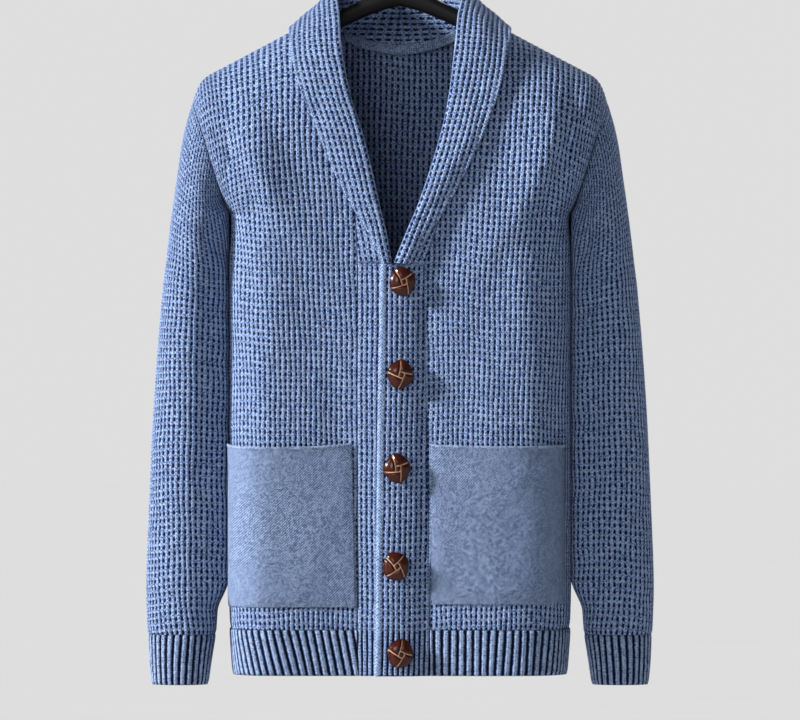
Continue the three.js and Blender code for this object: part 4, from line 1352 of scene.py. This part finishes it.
def shared_material(key, settings):
    """Material of one finish, made when it is first asked for."""
    if key in bpy.data.materials:
        return bpy.data.materials[key]
    yarn, shade = tuple(settings.yarn), tuple(settings.shade)
    # Painted shade for the gaps between the jersey's stitches, lighter than in the waffle
    pocket_shade = tuple(mix(a, b, 0.2) for a, b in zip(shade, yarn))
    makers = {
        "Waffle knit": lambda: knit_material(key, yarn, shade, 0.48, 1.0, 0.0022),
        "Ribbing": lambda: knit_material(key, scaled(yarn, 0.74), shade, 0.42, 0.7, 0.0006),
        "Pocket jersey": lambda: knit_material(
            key, scaled(yarn, 0.74), pocket_shade, 0.66, 0.7, 0.0004),
        "Knot leather": lambda: leather_material(key, tuple(settings.leather), tuple(settings.worn)),
        "Hanger plastic": lambda: plastic_material(key, tuple(settings.plastic)),
    }
    return makers[key]()


# Settings, operators and panel


def colour_property(name, description, default):
    """Colour setting of a property group."""
    return bpy.props.FloatVectorProperty(
        name=name, description=description, subtype="COLOR", size=3, default=default, min=0.0, max=1.0)


class CardiganSettings(bpy.types.PropertyGroup):
    """Sizes and colours of the cardigan."""

    yarn: colour_property(
        "Yarn", "Colour of the blue yarn where it is lit", (0.43, 0.565, 0.84))
    # Painted shade: the dark colour painted into the slits between the stitches
    shade: colour_property(
        "Slits", "Colour deep between the stitches", (0.001, 0.003, 0.018))
    leather: colour_property(
        "Leather", "Colour of the knot buttons", (0.028, 0.0045, 0.0018))
    worn: colour_property(
        "Worn leather", "Colour of the rubbed strand edges", (0.85, 0.43, 0.26))
    plastic: colour_property(
        "Plastic", "Colour of the hanger", (0.0025, 0.0025, 0.003))
    knit_depth: bpy.props.FloatProperty(
        name="Knit depth", description="How deep the holes of the waffle knit are", unit="LENGTH",
        subtype="DISTANCE", default=0.0013, min=0.0, max=0.003)


class StudioSettings(bpy.types.PropertyGroup):
    """Floor, light and camera of the studio."""

    floor: colour_property(
        "Floor", "Colour of the floor", (0.48, 0.48, 0.48))
    floor_drop: bpy.props.FloatProperty(
        name="Floor drop", description="Distance of the floor below the hook", unit="LENGTH",
        subtype="DISTANCE", default=1.5, min=0.9)
    key_power: bpy.props.FloatProperty(
        name="Key light", description="Strength of the soft main light from the front left",
        default=8.0, min=0.0)
    sky: bpy.props.FloatProperty(
        name="Sky", description="Strength of the even light all round", default=0.11, min=0.0)
    backdrop: bpy.props.FloatProperty(
        name="Backdrop", description="Brightness of the empty background", default=0.73, min=0.0)


def settings_of(context):
    """The cardigan's settings in the scene."""
    return context.scene.cardigan_settings


class CARDIGAN_OT_fronts(bpy.types.Operator):
    """Knit the two fronts"""

    bl_idname = "cardigan.fronts"
    bl_label = "Fronts"

    def execute(self, context):
        settings = settings_of(context)
        for side in (1, -1):
            build_front(side, shared_material("Waffle knit", settings), settings)
        return {"FINISHED"}


class CARDIGAN_OT_back(bpy.types.Operator):
    """Knit the back"""

    bl_idname = "cardigan.back"
    bl_label = "Back"

    def execute(self, context):
        settings = settings_of(context)
        build_back(shared_material("Waffle knit", settings), settings)
        return {"FINISHED"}


class CARDIGAN_OT_hem(bpy.types.Operator):
    """Knit the ribbed hem in its three pieces"""

    bl_idname = "cardigan.hem"
    bl_label = "Hem"

    def execute(self, context):
        material = shared_material("Ribbing", settings_of(context))

        def side_seam(sign):
            return lambda heights: np.full_like(heights, sign * QUARTER)

        def right_edge(heights):
            return -front_edge(-1, heights)

        build_hem("hem_front_left", -1, HEM_RIBS["left"],
                  lambda heights: front_edge(1, heights), side_seam(1), material)
        build_hem("hem_front_right", -1, HEM_RIBS["right"], right_edge, side_seam(-1), material)
        build_hem("hem_back", 1, HEM_RIBS["back"], side_seam(-1), side_seam(1), material)
        return {"FINISHED"}


class CARDIGAN_OT_sleeves(bpy.types.Operator):
    """Knit the two sleeves"""

    bl_idname = "cardigan.sleeves"
    bl_label = "Sleeves"

    def execute(self, context):
        settings = settings_of(context)
        for side in (1, -1):
            build_sleeve(side, shared_material("Waffle knit", settings), settings)
        return {"FINISHED"}


class CARDIGAN_OT_cuffs(bpy.types.Operator):
    """Knit the two ribbed cuffs"""

    bl_idname = "cardigan.cuffs"
    bl_label = "Cuffs"

    def execute(self, context):
        for side in (1, -1):
            build_cuff(side, shared_material("Ribbing", settings_of(context)))
        return {"FINISHED"}


class CARDIGAN_OT_bands(bpy.types.Operator):
    """Knit the two button bands"""

    bl_idname = "cardigan.bands"
    bl_label = "Button bands"

    def execute(self, context):
        settings = settings_of(context)
        build_under_band(shared_material("Waffle knit", settings), settings)
        build_over_band(shared_material("Waffle knit", settings), settings)
        return {"FINISHED"}


class CARDIGAN_OT_pockets(bpy.types.Operator):
    """Sew on the two patch pockets"""

    bl_idname = "cardigan.pockets"
    bl_label = "Pockets"

    def execute(self, context):
        for word in ("left", "right"):
            build_pocket(word, shared_material("Pocket jersey", settings_of(context)))
        return {"FINISHED"}


class CARDIGAN_OT_collar(bpy.types.Operator):
    """Knit the shawl collar and sew the tape inside the neck"""

    bl_idname = "cardigan.collar"
    bl_label = "Collar"

    def execute(self, context):
        settings = settings_of(context)
        for word in ("left", "right"):
            build_collar(word, shared_material("Waffle knit", settings), settings)
        build_neck_tape(shared_material("Pocket jersey", settings))
        return {"FINISHED"}


class CARDIGAN_OT_buttons(bpy.types.Operator):
    """Sew on the leather knot buttons"""

    bl_idname = "cardigan.buttons"
    bl_label = "Buttons"

    def execute(self, context):
        for index in range(len(BUTTONS["x"])):
            build_button(index, shared_material("Knot leather", settings_of(context)))
        return {"FINISHED"}


class CARDIGAN_OT_hanger(bpy.types.Operator):
    """Make the moulded hanger"""

    bl_idname = "cardigan.hanger"
    bl_label = "Hanger"

    def execute(self, context):
        build_hanger(shared_material("Hanger plastic", settings_of(context)))
        return {"FINISHED"}


LIGHTS = (
    # Name, direction that it comes from, width in degrees, share of the key light's strength
    ("key_light", (-3.35, -0.95, 1.4), 9.0, 1.0),
    ("fill_light", (-0.8, -3.0, 0.9), 25.0, 0.12),
    ("back_light", (1.4, 3.0, 2.0), 30.0, 0.3),
)


def add_light(name, place, spread, power):
    """Soft light from far away, in the direction of a place; the spread is its width in degrees."""
    data = bpy.data.lights.new(name, "SUN")
    data.angle, data.energy = math.radians(spread), power
    light = bpy.data.objects.new(name, data)
    light.location = place
    light.rotation_mode = "QUATERNION"
    light.rotation_quaternion = (-Vector(place)).to_track_quat("-Z", "Y")
    bpy.context.scene.collection.objects.link(light)
    return light


def studio_world(light, seen):
    """Even sky that lights the scene, with a background of its own brightness for the camera."""
    world = bpy.data.worlds.new("Studio sky")
    world.use_nodes = True
    tree = world.node_tree
    sky = tree.nodes["Background"]
    sky.inputs["Color"].default_value = (1.0, 1.0, 1.0, 1.0)
    sky.inputs["Strength"].default_value = light
    empty = tree.nodes.new("ShaderNodeBackground")
    empty.inputs["Color"].default_value = (1.0, 1.0, 1.0, 1.0)
    empty.inputs["Strength"].default_value = seen
    mixer = tree.nodes.new("ShaderNodeMixShader")
    path = tree.nodes.new("ShaderNodeLightPath")
    tree.links.new(path.outputs["Is Camera Ray"], mixer.inputs[0])
    tree.links.new(sky.outputs[0], mixer.inputs[1])
    tree.links.new(empty.outputs[0], mixer.inputs[2])
    tree.links.new(mixer.outputs[0], tree.nodes["World Output"].inputs["Surface"])
    return world


class CARDIGAN_OT_stage(bpy.types.Operator):
    """Set up the floor, the soft light and the camera"""

    bl_idname = "cardigan.stage"
    bl_label = "Studio"

    def execute(self, context):
        studio = context.scene.studio_settings
        radius, ring = 60.0, 64
        turns = np.linspace(0, 2 * math.pi, ring + 1)[:-1]
        disc = stack(radius * np.cos(turns), radius * np.sin(turns), -studio.floor_drop)
        mesh = bpy.data.meshes.new("studio_floor")
        mesh.from_pydata([tuple(v) for v in disc], [], [tuple(range(ring))])
        mesh.materials.append(plain_material("Studio floor", tuple(studio.floor)))
        floor = bpy.data.objects.new("studio_floor", mesh)
        context.scene.collection.objects.link(floor)
        for name, place, spread, share in LIGHTS:
            add_light(name, place, spread, studio.key_power * share)
        context.scene.world = studio_world(studio.sky, studio.backdrop)
        camera = bpy.data.objects.new("camera", bpy.data.cameras.new("camera"))
        rows_up = (HEM_ROW - FRAME_MIDDLE_ROW) * PIXEL / 1000
        camera.location = (0.0, -CAMERA_DISTANCE, HEM_LEVEL + rows_up)
        camera.rotation_euler = (QUARTER, 0.0, 0.0)
        shown = FRAME_WIDTH * PIXEL / 1000
        camera.data.lens = camera.data.sensor_width * CAMERA_DISTANCE / shown
        camera.data.clip_end = 200.0
        context.scene.collection.objects.link(camera)
        context.scene.camera = camera
        context.scene.view_settings.view_transform = "Standard"
        return {"FINISHED"}


STEPS = ("hanger", "fronts", "back", "hem", "sleeves", "cuffs", "bands", "pockets", "collar",
         "buttons", "stage")


class CARDIGAN_PT_panel(bpy.types.Panel):
    """Sidebar panel with the settings and one button for each step"""

    bl_idname = "CARDIGAN_PT_panel"
    bl_label = "Shawl Collar Cardigan"
    bl_space_type = "VIEW_3D"
    bl_region_type = "UI"
    bl_category = "Cardigan"

    def draw(self, context):
        column = self.layout.column(align=True)
        for group in (settings_of(context), context.scene.studio_settings):
            for name in group.__annotations__:
                column.prop(group, name)
        for step in STEPS:
            column.operator(f"cardigan.{step}")


CLASSES = (
    CardiganSettings, StudioSettings, CARDIGAN_OT_fronts, CARDIGAN_OT_back, CARDIGAN_OT_hem,
    CARDIGAN_OT_sleeves, CARDIGAN_OT_cuffs, CARDIGAN_OT_bands, CARDIGAN_OT_pockets,
    CARDIGAN_OT_collar, CARDIGAN_OT_buttons, CARDIGAN_OT_hanger, CARDIGAN_OT_stage,
    CARDIGAN_PT_panel,
)


def register():
    """Makes the settings, operators and panel known."""
    for cls in CLASSES:
        bpy.utils.register_class(cls)
    bpy.types.Scene.cardigan_settings = bpy.props.PointerProperty(type=CardiganSettings)
    bpy.types.Scene.studio_settings = bpy.props.PointerProperty(type=StudioSettings)


def unregister():
    """Takes them away again."""
    del bpy.types.Scene.studio_settings
    del bpy.types.Scene.cardigan_settings
    for cls in reversed(CLASSES):
        bpy.utils.unregister_class(cls)


def main():
    """Builds every piece in order."""
    register()
    for step in STEPS:
        getattr(bpy.ops.cardigan, step)()


if __name__ == "__main__":
    main()
